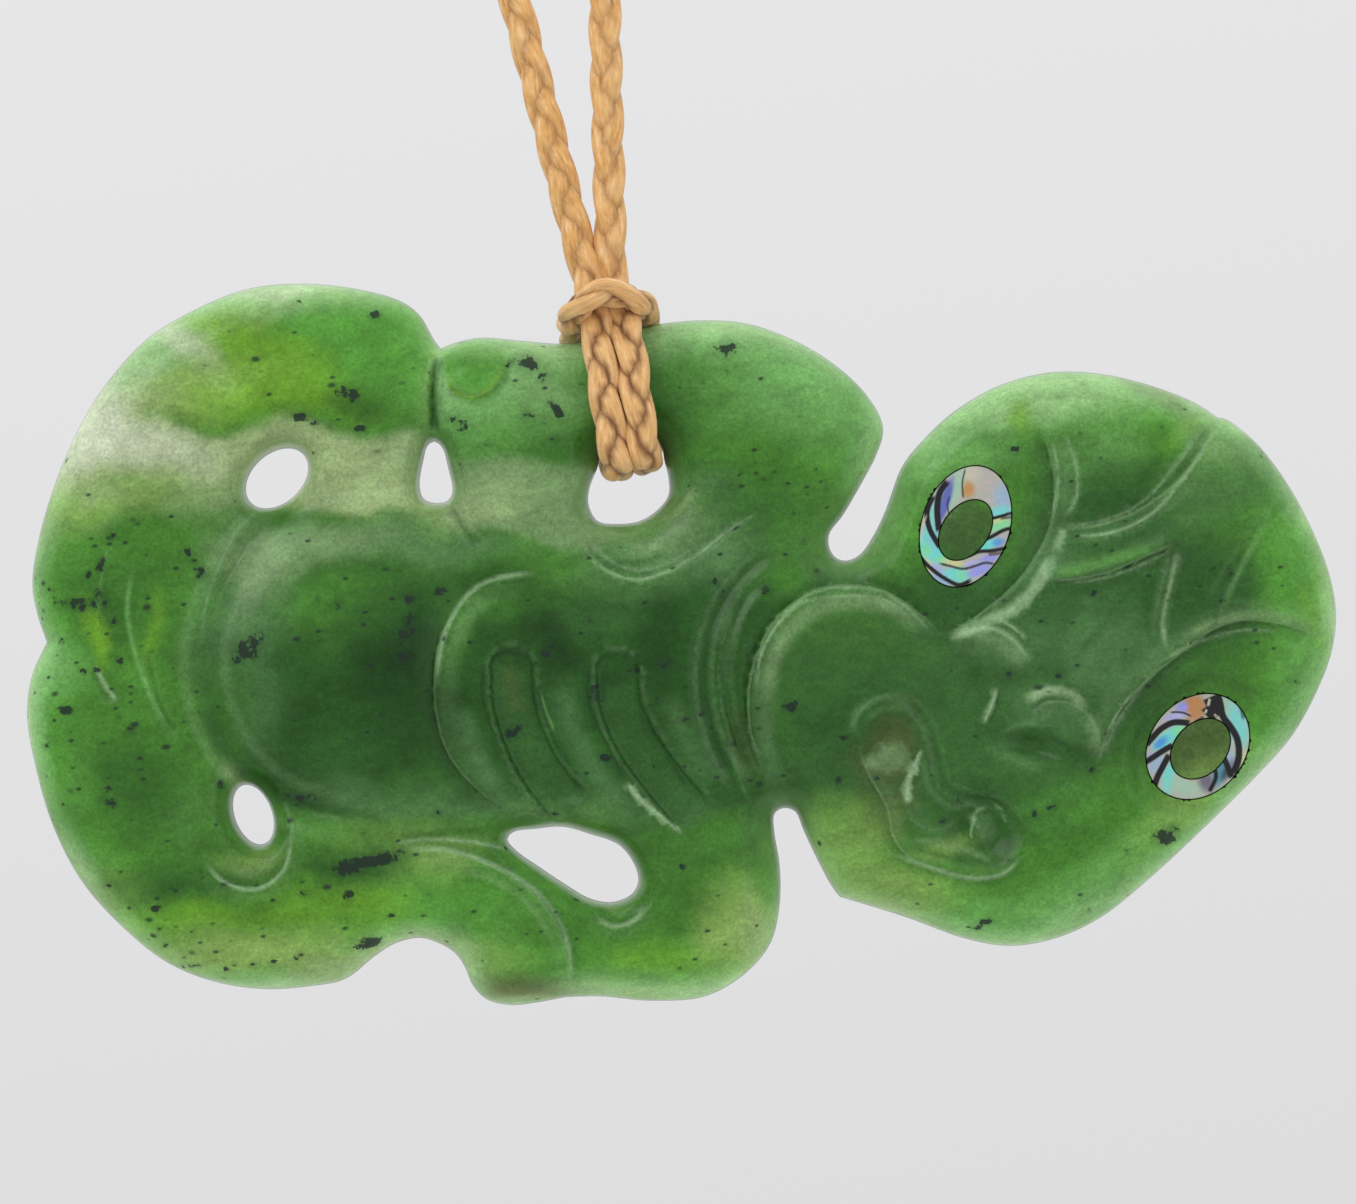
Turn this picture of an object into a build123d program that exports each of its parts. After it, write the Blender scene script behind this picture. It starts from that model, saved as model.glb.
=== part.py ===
from build123d import *

import math
import os
from collections import namedtuple

import numpy as np
from scipy.spatial import Delaunay, cKDTree

# A hei tiki pendant of translucent greenstone, carved in the round from one flat slab, with two
# inlaid shell eye rings. It hangs on its side from a ring of plaited cord, which is doubled through
# the hole under the upper arm in a lark's head. All lengths are in millimetres.
# +X is to the right of the carved face, -Y is the side that the face looks to, +Z is up.
# The origin is the under side of the cord's closing knot, where the ring of cord hangs.

# Driving dimensions of the carving
figure_length = 90.0
figure_width = 49.6
front_height = 2.6
back_height = 2.4
swell_height = 0.7
swell_reach = 12.0
rim_round = 3.0
hole_round = 1.6
cord_hole_round = 2.7
relief_height = 1.0
line_width = 1.1

# The section of a carved edge and slot, in shares of their depth and width, and the share of
# a line's length over which it fades out
edge_raise = 0.35
edge_scoop = 0.65
slot_wall = 0.25
line_fade = 0.12

# Driving dimensions of the eyes. The stone is flat round a ring, out to these shares of its oval.
seat_flat = 1.1
seat_reach = 1.5
ring_thickness = 1.0
piece_gap = 0.09
ring_edge = 0.12
eye_sink = 0.1
pupil_dome = 0.15

# Driving dimensions of the cord
cord_diameter = 2.1
leg_gap = 0.1
cord_gap = 0.12
knot_length = 7.0
knot_diameter = 4.2
knot_edge = 0.9

# How the figure hangs: its lean in degrees, the place of the lark's head along it in percent of its
# length, and the height of the head's middle over the arm's edge
hang_tilt = 8.0
knot_along = 43.9
knot_stand = 3.07

# Spacings of the faceted surface
outline_step = 0.85
front_step = 1.7
back_step = 2.7
line_step = 0.95
least_step = 0.45
ring_steps = 32
front_rim_depths = (0.3, 1.0, 2.0)
back_rim_depths = (0.35, 1.4)
front_field_depth = 2.3
back_field_depth = 2.2
line_field_depth = 0.7

# An oval: percent of the length along, percent of the width up, half its length and half its width
# in percent of the figure's length, and its lean in degrees
Oval = namedtuple("Oval", "along up half_long half_short lean")

# The outline, one table between two sharp corners each, clockwise from the notch between the
# upper leg and the upper hand. Columns: percent of the length, percent of the width.
upper_arm_and_brow = (
    (31.6, 91.0), (32.7, 91.8), (34.6, 92.5), (37.7, 92.1), (41.1, 91.7), (44.5, 92.8),
    (48.0, 94.3), (51.4, 94.9), (54.9, 94.5), (58.3, 92.4), (61.3, 89.3), (63.8, 85.3),
    (65.2, 81.4), (65.4, 79.3), (64.9, 76.3), (63.6, 71.8), (62.3, 67.8), (61.3, 65.3),
    (61.3, 63.4), (61.8, 62.0), (62.6, 61.6), (63.6, 62.4), (64.6, 64.9), (65.5, 68.2),
    (66.9, 74.8), (68.6, 78.6), (70.9, 82.4), (74.3, 85.9), (78.2, 87.7), (82.0, 87.5),
    (85.8, 85.9), (89.2, 83.5), (91.0, 81.4),
)
crown_and_jaw = (
    (91.0, 81.4), (91.5, 81.3), (93.8, 78.1), (96.1, 72.8), (98.0, 66.6), (99.4, 60.3),
    (100.0, 54.5), (99.7, 49.2), (98.6, 43.7), (96.6, 37.2), (93.8, 31.5), (90.0, 24.7),
    (85.8, 17.6), (82.0, 12.1), (78.5, 9.2), (75.1, 8.2), (71.7, 9.2), (67.1, 12.2),
    (62.1, 15.0),
)
neck_slot_and_lower_arm = (
    (62.1, 15.0), (61.5, 16.4), (60.4, 20.1), (59.3, 24.3), (58.7, 26.8), (57.8, 27.3),
    (57.1, 26.5), (57.1, 24.0), (57.5, 19.4), (57.5, 13.9), (56.8, 8.6), (54.9, 4.4),
    (51.8, 1.2), (47.6, 0.6), (43.8, 1.2), (41.2, 1.1),
)
lower_hand_and_leg = (
    (41.2, 1.1), (38.8, 0.3), (36.9, 0.0), (35.1, 0.8), (34.0, 2.9), (33.5, 5.1),
    (32.7, 7.2), (31.3, 8.7), (29.9, 9.3), (28.1, 8.5), (26.6, 6.8), (24.3, 3.6),
    (21.6, 2.6), (18.2, 2.2), (14.4, 3.2), (10.9, 5.7), (7.9, 9.8), (4.4, 16.6),
    (2.1, 24.3), (0.8, 31.9), (0.0, 40.2), (0.4, 45.8), (1.5, 50.3),
)
upper_leg = (
    (1.5, 50.3), (0.8, 54.1), (0.4, 58.3), (0.8, 63.8), (1.8, 70.5), (3.4, 77.9),
    (5.6, 85.0), (9.0, 92.1), (12.5, 96.1), (16.7, 99.2), (20.9, 100.0), (25.1, 99.3),
    (28.5, 97.6), (30.0, 95.6), (31.1, 92.2), (31.6, 91.0),
)
outline_runs = (upper_arm_and_brow, crown_and_jaw, neck_slot_and_lower_arm, lower_hand_and_leg, upper_leg)

# Round holes between the legs and the belly
upper_knee_hole = Oval(19.1, 73.0, 2.71, 1.87, 42.0)
lower_knee_hole = Oval(17.3, 26.4, 2.37, 1.41, 110.6)

# The first points of that run, up to the shoulder, follow the arm's upper edge
arm_edge = upper_arm_and_brow[:10]

# The holes of free shape, in the outline's columns. The cord's hole lies under the lark's head, and
# its columns count from the middle of that.
waist_slot = (
    (31.1, 78.1), (31.7, 77.3), (32.2, 74.2), (32.5, 71.4), (32.2, 70.0),
    (31.2, 69.6), (30.3, 70.2), (30.0, 72.1), (30.3, 75.6), (30.6, 77.5),
)
cord_hole = (
    (0.0, -21.6), (0.7, -20.1), (2.3, -19.5), (3.9, -20.0), (4.6, -21.6), (4.8, -23.4), (5.1, -25.7),
    (5.1, -28.1), (4.3, -30.1), (2.9, -31.7), (1.3, -32.1), (-0.3, -31.7), (-1.0, -29.4), (-0.9, -27.0),
    (-0.3, -24.2),
)
elbow_hole = (
    (36.7, 23.0), (37.2, 24.0), (38.8, 24.4), (40.9, 24.7), (43.0, 23.7), (45.2, 22.2), (46.3, 19.8),
    (46.7, 17.3), (46.2, 15.4), (44.7, 14.3), (43.0, 14.8), (41.1, 16.8), (39.2, 19.1), (37.4, 21.4),
)

# Swellings and hollows of the face: the oval of each, and its height as a share of relief_height
swellings = {
    "belly": (Oval(25.1, 48.5, 13.6, 11.6, 0.0), 1.3),
    "chest": (Oval(43.5, 44.0, 14.0, 12.5, 0.0), 0.7),
    "cheek": (Oval(63.0, 42.5, 8.4, 8.2, 0.0), 0.9),
    "brow": (Oval(88.0, 62.0, 10.0, 13.0, 60.0), 0.5),
    "shoulder": (Oval(58.0, 78.0, 7.5, 6.0, -40.0), 0.4),
    "upper_nostril": (Oval(73.2, 47.0, 3.2, 3.0, 0.0), 0.6),
    "lower_nostril": (Oval(79.0, 37.8, 3.2, 3.0, 0.0), 0.6),
    "nose_trough": (Oval(76.9, 35.9, 3.2, 1.2, -12.0), -0.8),
    "left_mouth_pit": (Oval(65.7, 35.3, 2.9, 3.2, 0.0), -1.2),
    "left_mouth_knob": (Oval(65.7, 35.1, 1.2, 1.3, 0.0), 1.0),
    "right_mouth_pit": (Oval(72.8, 24.3, 3.4, 3.2, 0.0), -1.2),
    "right_mouth_knob": (Oval(72.8, 24.3, 1.3, 1.4, 0.0), 1.0),
    "mouth_channel": (Oval(69.2, 27.5, 4.2, 2.0, -50.0), -0.5),
    "upper_hand": (Oval(33.9, 88.2, 3.0, 2.2, -15.0), 0.5),
    "lower_hand": (Oval(37.2, 7.8, 4.4, 4.0, 0.0), 0.5),
}

# Carved lines, in three kinds: a cut is a round-bottomed groove, a slot a flat-bottomed one, and
# an edge stands up on one side and is scooped on the other (side 1 is the left of the way along it).
# Columns: kind, side, width as a share of line_width, depth as a share of relief_height, and the
# few points that the line goes through, in the outline's columns.
carved_lines = {
    "belly_groove": ("cut", 1, 2.6, 0.9, (
        (22.8, 70.5), (18.2, 66.2), (15.2, 58.3), (13.8, 49.9), (14.2, 41.6), (16.3, 34.0),
        (20.2, 28.2), (25.8, 25.9))),
    "rib_edge": ("edge", 1, 2.0, 0.7, (
        (39.2, 59.8), (36.9, 59.4), (34.8, 58.1), (32.9, 54.8), (31.7, 50.3), (31.3, 45.1),
        (31.5, 39.5), (32.5, 34.3), (35.0, 29.3), (37.8, 26.5))),
    "first_rib_slot": ("slot", 1, 1.45, 0.5, (
        (37.1, 46.7), (37.2, 42.3), (38.0, 37.4), (39.4, 32.3), (41.9, 26.8))),
    "second_rib_slot": ("slot", 1, 1.45, 0.5, (
        (45.1, 46.2), (45.3, 42.0), (46.5, 36.8), (48.7, 31.2), (51.4, 25.4))),
    "collar": ("cut", 1, 1.1, 0.55, (
        (57.4, 63.4), (54.9, 60.1), (52.9, 55.1), (51.8, 49.2), (51.8, 42.3), (52.8, 35.6), (54.7, 29.1))),
    "collar_inner": ("cut", 1, 0.9, 0.4, (
        (56.6, 60.1), (54.6, 55.5), (53.5, 49.2), (53.5, 42.3), (54.5, 35.6), (55.9, 30.1))),
    "cheek_edge": ("edge", 1, 1.7, 0.8, (
        (70.1, 50.6), (68.1, 54.2), (65.6, 57.1), (62.7, 58.1), (60.0, 57.1), (57.5, 54.1),
        (55.8, 49.0), (55.1, 43.0), (55.4, 36.8), (56.6, 30.8))),
    "cord_scoop": ("edge", -1, 2.2, 0.5, (
        (42.5, 64.8), (43.5, 61.6), (45.3, 59.4), (47.6, 59.1), (50.3, 60.9), (52.9, 64.4), (55.8, 68.4))),
    "upper_socket": ("edge", 1, 1.8, 0.7, (
        (77.0, 80.9), (78.0, 76.3), (78.4, 71.2), (78.0, 66.2), (76.8, 61.7), (75.1, 57.8),
        (73.0, 54.6), (70.0, 50.9))),
    "brow_band": ("edge", 1, 1.5, 0.6, (
        (91.3, 81.1), (90.2, 78.4), (88.9, 74.9), (86.9, 71.2), (84.3, 68.1), (81.6, 66.4), (78.5, 65.9))),
    "second_brow": ("edge", 1, 1.5, 0.6, (
        (77.4, 58.9), (80.1, 59.1), (82.7, 60.2), (85.4, 62.3), (87.9, 64.4))),
    "brow_tip": ("cut", 1, 0.9, 0.35, ((87.9, 64.4), (87.2, 60.1), (86.6, 55.5), (86.2, 50.6))),
    "lower_socket": ("edge", -1, 1.8, 0.7, (
        (99.4, 50.2), (97.3, 52.0), (94.8, 53.1), (92.3, 53.3), (90.0, 51.7), (87.7, 48.5),
        (85.4, 45.1), (83.5, 41.5), (82.2, 37.4), (81.5, 33.1))),
    "crown_line": ("cut", 1, 0.9, 0.25, ((96.5, 70.5), (93.8, 65.9), (91.9, 60.6), (90.2, 55.5))),
    "upper_nostril_arc": ("edge", -1, 1.1, 0.35, (
        (70.1, 50.6), (71.7, 52.0), (73.4, 52.3), (75.0, 50.6), (76.0, 47.6))),
    "lower_nostril_arc": ("edge", -1, 1.1, 0.35, (
        (76.6, 40.6), (77.8, 42.0), (79.3, 42.0), (80.8, 40.4), (81.7, 37.4), (81.6, 33.7))),
    "upper_lip": ("cut", 1, 0.9, 0.3, (
        (63.3, 36.5), (63.8, 40.1), (65.2, 42.0), (67.1, 42.0), (68.6, 39.3), (69.4, 34.7), (70.1, 30.5),
        (71.9, 28.9), (74.0, 28.0), (75.5, 25.4), (76.0, 21.5))),
    "lower_lip": ("edge", 1, 1.1, 0.35, (
        (63.3, 36.5), (64.3, 31.9), (65.6, 27.7), (66.2, 23.2), (67.5, 20.4), (69.8, 18.9), (72.7, 17.8),
        (75.0, 19.0), (76.0, 21.5))),
    "leg_groove": ("cut", 1, 1.0, 0.9, ((31.6, 90.4), (31.1, 86.0), (31.1, 81.8), (31.3, 79.0))),
    "waist_line": ("cut", 1, 1.0, 0.3, ((32.2, 68.9), (33.2, 66.6), (34.6, 63.4))),
    "finger_edge": ("edge", 1, 1.1, 0.35, (
        (32.2, 86.4), (33.8, 84.3), (35.5, 85.3), (36.6, 88.1), (36.9, 90.6))),
    "wrist_line": ("cut", 1, 0.9, 0.3, ((28.1, 23.2), (30.4, 23.7), (33.2, 24.1), (35.9, 24.4))),
    "hand_edge": ("edge", -1, 1.3, 0.45, (
        (28.3, 21.8), (30.8, 21.9), (33.5, 20.8), (36.1, 19.0), (38.8, 15.5), (40.7, 10.4), (41.6, 5.1),
        (41.3, 1.6))),
    "elbow_scoop": ("edge", -1, 1.1, 0.35, (
        (43.2, 13.5), (44.2, 11.5), (45.5, 11.2), (46.8, 12.5), (47.8, 14.8))),
    "knee_scoop": ("edge", -1, 1.3, 0.35, (
        (13.7, 19.8), (14.9, 17.5), (16.9, 16.4), (18.9, 17.3), (20.1, 20.4), (20.3, 24.0), (19.7, 26.8))),
    "toe_mark": ("cut", 1, 0.8, 0.25, ((5.0, 46.7), (5.9, 44.0), (6.7, 41.9))),
    "foot_mark": ("cut", 1, 0.8, 0.25, ((9.4, 49.2), (9.9, 43.7), (11.5, 37.0))),
}

# The shell rings: the outer oval, and the oval of the stone pupil inside it
eye_rings = {
    "eye_ring_upper": (Oval(71.6, 66.3, 4.70, 3.30, 71.0), Oval(71.6, 65.8, 2.60, 1.80, 54.0)),
    "eye_ring_lower": (Oval(89.3, 35.9, 4.32, 3.55, 48.0), Oval(89.5, 35.6, 2.65, 2.00, 46.0)),
}

# The right half of the ring of cord, from the lark's head up: millimetres out from the middle,
# towards the back, and above the hang point
strand_route = (
    (1.1, -1.5, -289.6), (3.6, -1.3, -267.7), (8.5, -0.9, -228.0), (16.3, -0.5, -170.5), (23.4, -0.2, -113.0),
    (29.0, -0.1, -63.3), (31.6, 0.0, -31.4), (28.1, 0.0, -14.8), (19.3, 0.0, -2.7),
)
top_turn = 10.4
strand_foot = 3.3

# Where the arm's thickness is measured, in percent of the length and width from the lark's head
arm_sample_along = (0.1, 2.1, 4.1)
arm_sample_up = (-16.8, -13.8, -10.8)

# Places round the arm. The legs come down the arm's front, pass under it below the top of the hole,
# closer together, and spread behind it to the corners from which the bight comes over the arm and
# crosses in front of them. The bight's columns are millimetres across the lark's head, towards the
# back and above the arm's edge.
leg_middle = 0.4
leg_low_gap = 0.04
leg_low_drop = 1.97
leg_top_drop = 1.9
leg_meet = 0.68
bight_route = (
    (-2.3, 4.2, -1.15), (-2.2, 1.3, 1.75), (-2.17, -3.3, 2.1), (0.2, -4.5, 2.9),
    (2.53, -3.3, 2.05), (2.6, 1.3, 1.65), (2.65, 4.2, -1.15),
)


def smooth_curve(points, step, closed=False):
    """Evenly spaced points on a centripetal Catmull-Rom curve through the given ones."""
    given = np.asarray(points, dtype=float)
    if closed:
        ring = np.vstack([given[-1], given, given[0], given[1]])
    else:
        ring = np.vstack([2 * given[0] - given[1], given, 2 * given[-1] - given[-2]])
    dense = []
    for p0, p1, p2, p3 in zip(ring[:-3], ring[1:-2], ring[2:-1], ring[3:]):
        t1 = math.sqrt(np.linalg.norm(p1 - p0))
        t2 = t1 + math.sqrt(np.linalg.norm(p2 - p1))
        t3 = t2 + math.sqrt(np.linalg.norm(p3 - p2))
        t = np.linspace(t1, t2, 24, endpoint=False)[:, None]
        a1 = (t1 - t) / t1 * p0 + t / t1 * p1
        a2 = (t2 - t) / (t2 - t1) * p1 + (t - t1) / (t2 - t1) * p2
        a3 = (t3 - t) / (t3 - t2) * p2 + (t - t2) / (t3 - t2) * p3
        b1 = (t2 - t) / t2 * a1 + t / t2 * a2
        b2 = (t3 - t) / (t3 - t1) * a2 + (t - t1) / (t3 - t1) * a3
        dense.append((t2 - t) / (t2 - t1) * b1 + (t - t1) / (t2 - t1) * b2)
    dense.append(given[:1] if closed else given[-1:])
    dense = np.vstack(dense)
    length = np.concatenate([[0], np.cumsum(np.linalg.norm(np.diff(dense, axis=0), axis=1))])
    count = max(2, round(length[-1] / step))
    at = np.linspace(0, length[-1], count + 1)
    even = np.column_stack([np.interp(at, length, dense[:, axis]) for axis in (0, 1)])
    return even[:-1] if closed else even


def on_figure(points):
    """Millimetres along and up the figure, of points in percent of its length and width."""
    return np.asarray(points, dtype=float) * (figure_length / 100, figure_width / 100)


def oval_points(oval, count, grow=0.0):
    """Points round an oval, grown by a length in millimetres."""
    turn = np.linspace(0, 2 * math.pi, count, endpoint=False)
    a = oval.half_long * figure_length / 100 + grow
    b = oval.half_short * figure_length / 100 + grow
    c, s = math.cos(math.radians(oval.lean)), math.sin(math.radians(oval.lean))
    centre = on_figure((oval.along, oval.up))
    return centre + np.column_stack([a * np.cos(turn) * c - b * np.sin(turn) * s,
                                     a * np.cos(turn) * s + b * np.sin(turn) * c])


def oval_share(points, oval):
    """Distance of each point from an oval's centre, as a share of the oval's own."""
    offset = points - on_figure((oval.along, oval.up))
    c, s = math.cos(math.radians(oval.lean)), math.sin(math.radians(oval.lean))
    a = (offset[:, 0] * c + offset[:, 1] * s) / (oval.half_long * figure_length / 100)
    b = (offset[:, 1] * c - offset[:, 0] * s) / (oval.half_short * figure_length / 100)
    return np.sqrt(a * a + b * b)


def nearest_on(points, line, closed=False):
    """Distance of each point from a line, its side of it, and how far along it the foot lies."""
    ends = np.roll(line, -1, axis=0) if closed else line[1:]
    starts = line if closed else line[:-1]
    run = ends - starts
    size = np.maximum((run ** 2).sum(axis=1), 1e-12)
    offset = points[:, None, :] - starts[None]
    share = np.clip((offset * run[None]).sum(axis=2) / size, 0, 1)
    apart = np.linalg.norm(offset - share[..., None] * run[None], axis=2)
    best = apart.argmin(axis=1)
    row = np.arange(len(points))
    cross = run[best, 0] * offset[row, best, 1] - run[best, 1] * offset[row, best, 0]
    return apart[row, best], np.sign(cross), (best + share[row, best]) / len(run)


def inside(points, loop):
    """Which points lie inside a closed loop."""
    x, y = points[:, 0][:, None], points[:, 1][:, None]
    x1, y1 = loop[:, 0], loop[:, 1]
    x2, y2 = np.roll(x1, -1), np.roll(y1, -1)
    spans = (y1 > y) != (y2 > y)
    rise = np.where(y2 == y1, 1e-12, y2 - y1)
    return ((x < (x2 - x1) * (y - y1) / rise + x1) & spans).sum(axis=1) % 2 == 1


def inward(loop, depth, solid_inside):
    """The loop's points moved into the stone by a depth, where they stay that deep."""
    before, after = np.roll(loop, 1, axis=0), np.roll(loop, -1, axis=0)
    along = after - before
    along /= np.linalg.norm(along, axis=1)[:, None]
    area = (loop[:, 0] * np.roll(loop[:, 1], -1) - np.roll(loop[:, 0], -1) * loop[:, 1]).sum()
    side = 1 if (area > 0) == solid_inside else -1
    return loop + side * depth * np.column_stack([-along[:, 1], along[:, 0]])


def oval_steps(oval):
    """How many points round an oval stand about outline_step apart."""
    return round(math.pi * (oval.half_long + oval.half_short) * figure_length / 100 / outline_step)


# The middle of the lark's head, on the figure
knot_middle = on_figure((knot_along, np.interp(knot_along, *zip(*arm_edge)))) + (0.0, knot_stand)

# The stone's boundary loops: the outline first, then the holes, each with its own rounding
outline = np.vstack([smooth_curve(on_figure(run), outline_step)[:-1] for run in outline_runs])
cord_hole_loop = smooth_curve(on_figure(cord_hole) + knot_middle, outline_step, closed=True)
loops = [
    (outline, rim_round),
    (oval_points(upper_knee_hole, oval_steps(upper_knee_hole)), hole_round),
    (oval_points(lower_knee_hole, oval_steps(lower_knee_hole)), hole_round),
    (smooth_curve(on_figure(waist_slot), outline_step, closed=True), hole_round),
    (cord_hole_loop, cord_hole_round),
    (smooth_curve(on_figure(elbow_hole), outline_step, closed=True), hole_round),
]
lines = {name: smooth_curve(on_figure(row[4]), line_step) for name, row in carved_lines.items()}


def edge_depth(points):
    """Distance from the outline, and the least distance from any loop as a share of its rounding."""
    shares = [nearest_on(points, loop, closed=True)[0] / rounding for loop, rounding in loops]
    return shares[0] * rim_round, np.min(shares, axis=0)


def rounded(share):
    """Height of a quarter-round edge, as a share, at a share of its width."""
    return np.sqrt(1 - (1 - np.clip(share, 0, 1)) ** 2)


def relief(points):
    """Height of the carved relief over the plain face."""
    height = np.zeros(len(points))
    for oval, share in swellings.values():
        height += share * relief_height * np.clip(1 - oval_share(points, oval) ** 2, 0, 1) ** 1.5
    for name, (kind, side, width, depth, _) in carved_lines.items():
        apart, hand, way = nearest_on(points, lines[name])
        close = np.clip(1 - apart / (width * line_width), 0, 1)
        fade = np.clip(np.minimum(way, 1 - way) / line_fade, 0, 1)
        if kind == "cut":
            change = -fade * close ** 1.5
        elif kind == "slot":
            change = -np.clip((1 - way) / line_fade, 0, 1) * np.clip(close / slot_wall, 0, 1)
        else:
            change = fade * np.where(hand == side, edge_raise, -edge_scoop) * close ** 1.5
        height += depth * relief_height * change
    return height


def plain_front(points):
    """How far the face would stand in front of the middle plane if it were not carved."""
    deep, share = edge_depth(points)
    return rounded(share) * (front_height + swell_height * rounded(deep / swell_reach))


def front_surface(points):
    """How far the carved face stands in front of the middle plane."""
    plain = plain_front(points)
    share = edge_depth(points)[1]
    height = np.maximum(plain + rounded(share) * relief(points), plain / 3)
    for outer, pupil in eye_rings.values():
        seat = np.clip((seat_reach - oval_share(points, outer)) / (seat_reach - seat_flat), 0, 1)
        height = height * (1 - seat) + np.minimum(plain, eye_height(outer)) * seat
        height += pupil_dome * np.clip(1 - oval_share(points, pupil) ** 2, 0, 1)
    return height


def back_surface(points):
    """How far the plain back stands behind the middle plane."""
    deep, share = edge_depth(points)
    return rounded(share) * (back_height + swell_height * rounded(deep / swell_reach))


def eye_height(outer):
    """Height of the flat seat round a shell ring, no higher than the face at the ring's edge."""
    return float(plain_front(oval_points(outer, ring_steps, piece_gap)).min()) - eye_sink


def recess_loops(outer, pupil):
    """The recess's wall in the stone: its outer top, outer foot, inner foot and inner top."""
    return (oval_points(outer, ring_steps, piece_gap), oval_points(outer, ring_steps, piece_gap / 2),
            oval_points(pupil, ring_steps, -piece_gap / 2), oval_points(pupil, ring_steps, -piece_gap))


def spread(fixed, more, apart):
    """The fixed points, with those of the others that keep a distance from all earlier ones."""
    points = np.vstack([fixed, more])
    keep = np.ones(len(points), dtype=bool)
    for first, second in sorted(cKDTree(points).query_pairs(apart)):
        if keep[first] and second >= len(fixed):
            keep[second] = False
    return points[keep]


def grid_points(step):
    """A field of points in rows, each row shifted by half a step."""
    rows = []
    for index, up in enumerate(np.arange(step / 2, figure_width, step * 0.866)):
        rows += [(along + step / 2 * (index % 2), up) for along in np.arange(0, figure_length, step)]
    return np.array(rows)


def in_stone(points, depth):
    """The points that lie in the stone at least that deep."""
    keep = inside(points, outline)
    for loop, _ in loops[1:]:
        keep &= ~inside(points, loop)
    for loop, _ in loops:
        keep &= nearest_on(points, loop, closed=True)[0] >= depth
    return points[keep]


def rim_rows(depths):
    """Rows of points that follow every boundary loop at the given depths."""
    rows = []
    for depth in depths:
        for index, (loop, _) in enumerate(loops):
            moved = inward(loop, depth, index == 0)
            rows.append(in_stone(moved, depth * 0.93))
    return np.vstack(rows)


def triangles(points):
    """Triangles over the stone only, with every boundary edge used once."""
    mesh = Delaunay(points).simplices
    centres = points[mesh].mean(axis=1)
    keep = inside(centres, outline)
    for loop, _ in loops[1:]:
        keep &= ~inside(centres, loop)
    mesh = mesh[keep]
    a, b, c = points[mesh[:, 0]], points[mesh[:, 1]], points[mesh[:, 2]]
    area = (b[:, 0] - a[:, 0]) * (c[:, 1] - a[:, 1]) - (b[:, 1] - a[:, 1]) * (c[:, 0] - a[:, 0])
    mesh[area < 0] = mesh[area < 0][:, ::-1]
    edges = {}
    for p, q, r in mesh:
        for pair in ((p, q), (q, r), (r, p)):
            edges[frozenset(map(int, pair))] = edges.get(frozenset(map(int, pair)), 0) + 1
    single = {pair for pair, uses in edges.items() if uses == 1}
    start = 0
    for loop, _ in loops:
        for index in range(len(loop)):
            pair = frozenset((start + index, start + (index + 1) % len(loop)))
            if pair not in single:
                raise ValueError("the outline is not followed by the facets")
            single.discard(pair)
        start += len(loop)
    if single:
        raise ValueError("the facets leave a gap inside the stone")
    return mesh


def hung(along, up, out):
    """A point of the hanging figure, of millimetres along it, up it and towards the front."""
    a, b = along - knot_middle[0], up - knot_middle[1]
    c, s = math.cos(math.radians(hang_tilt)), math.sin(math.radians(hang_tilt))
    return (a * c + b * s, -out, b * c - a * s - knot_drop)


# The ring of cord runs straight through the closing knot, whose under side is at the origin
top_middle = knot_diameter / 2
knot_drop = strand_foot - strand_route[0][2]


def line_rows():
    """Rows of points along each carved line and beside it."""
    rows = []
    for name, (kind, side, width, _, _) in carved_lines.items():
        line = lines[name]
        run = np.gradient(line, axis=0)
        run /= np.linalg.norm(run, axis=1)[:, None]
        left = np.column_stack([-run[:, 1], run[:, 0]]) * width * line_width
        shares = {
            "cut": (0, 0.5, -0.5, 1, -1),
            "slot": (1 - slot_wall, slot_wall - 1, 1, -1),
            "edge": (0.02 * side, -0.02 * side, 0.4 * side, -0.5 * side, 1, -1),
        }
        rows += [line + left * share for share in shares[kind]]
    return np.vstack(rows)


def front_points(boundary):
    """Points of the carved face, and their heights."""
    walls = [loop for ring in eye_rings.values() for loop in recess_loops(*ring)]
    fixed = np.vstack([boundary] + walls)
    more = np.vstack([rim_rows(front_rim_depths[:1]), in_stone(line_rows(), line_field_depth),
                      rim_rows(front_rim_depths[1:]), in_stone(grid_points(front_step), front_field_depth)])
    for outer, pupil in eye_rings.values():
        more = more[(oval_share(more, outer) > seat_flat) | (oval_share(more, pupil) < 0.75)]
    points = spread(fixed, more, least_step)
    heights = front_surface(points)
    heights[:len(boundary)] = 0
    start = len(boundary)
    for outer, pupil in eye_rings.values():
        top = eye_height(outer)
        foot = top - ring_thickness - piece_gap
        heights[start:start + 4 * ring_steps] = np.repeat([top, foot, foot, top], ring_steps)
        start += 4 * ring_steps
    return points, heights


def back_points(boundary):
    """Points of the plain back, and their heights."""
    more = np.vstack([rim_rows(back_rim_depths), in_stone(grid_points(back_step), back_field_depth)])
    points = spread(boundary, more, least_step)
    heights = -back_surface(points)
    heights[:len(boundary)] = 0
    return points, heights


def pendant_facets():
    """The closed faceted surface of the carving, as triangles of three points."""
    boundary = np.vstack([loop for loop, _ in loops])
    sides = []
    for points, heights in (front_points(boundary), back_points(boundary)):
        corners = [Vector(*hung(p[0], p[1], h)) for p, h in zip(points, heights)]
        sides.append((corners, [tuple(map(int, row)) for row in triangles(points)]))
    on_rim = [{frozenset(row) for row in mesh if max(row) < len(boundary)} for _, mesh in sides]
    shared = on_rim[0] & on_rim[1]
    facets = []
    for (corners, mesh), turn in zip(sides, (1, -1)):
        facets += [[corners[index] for index in row][::turn] for row in mesh if frozenset(row) not in shared]
    return facets


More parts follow.
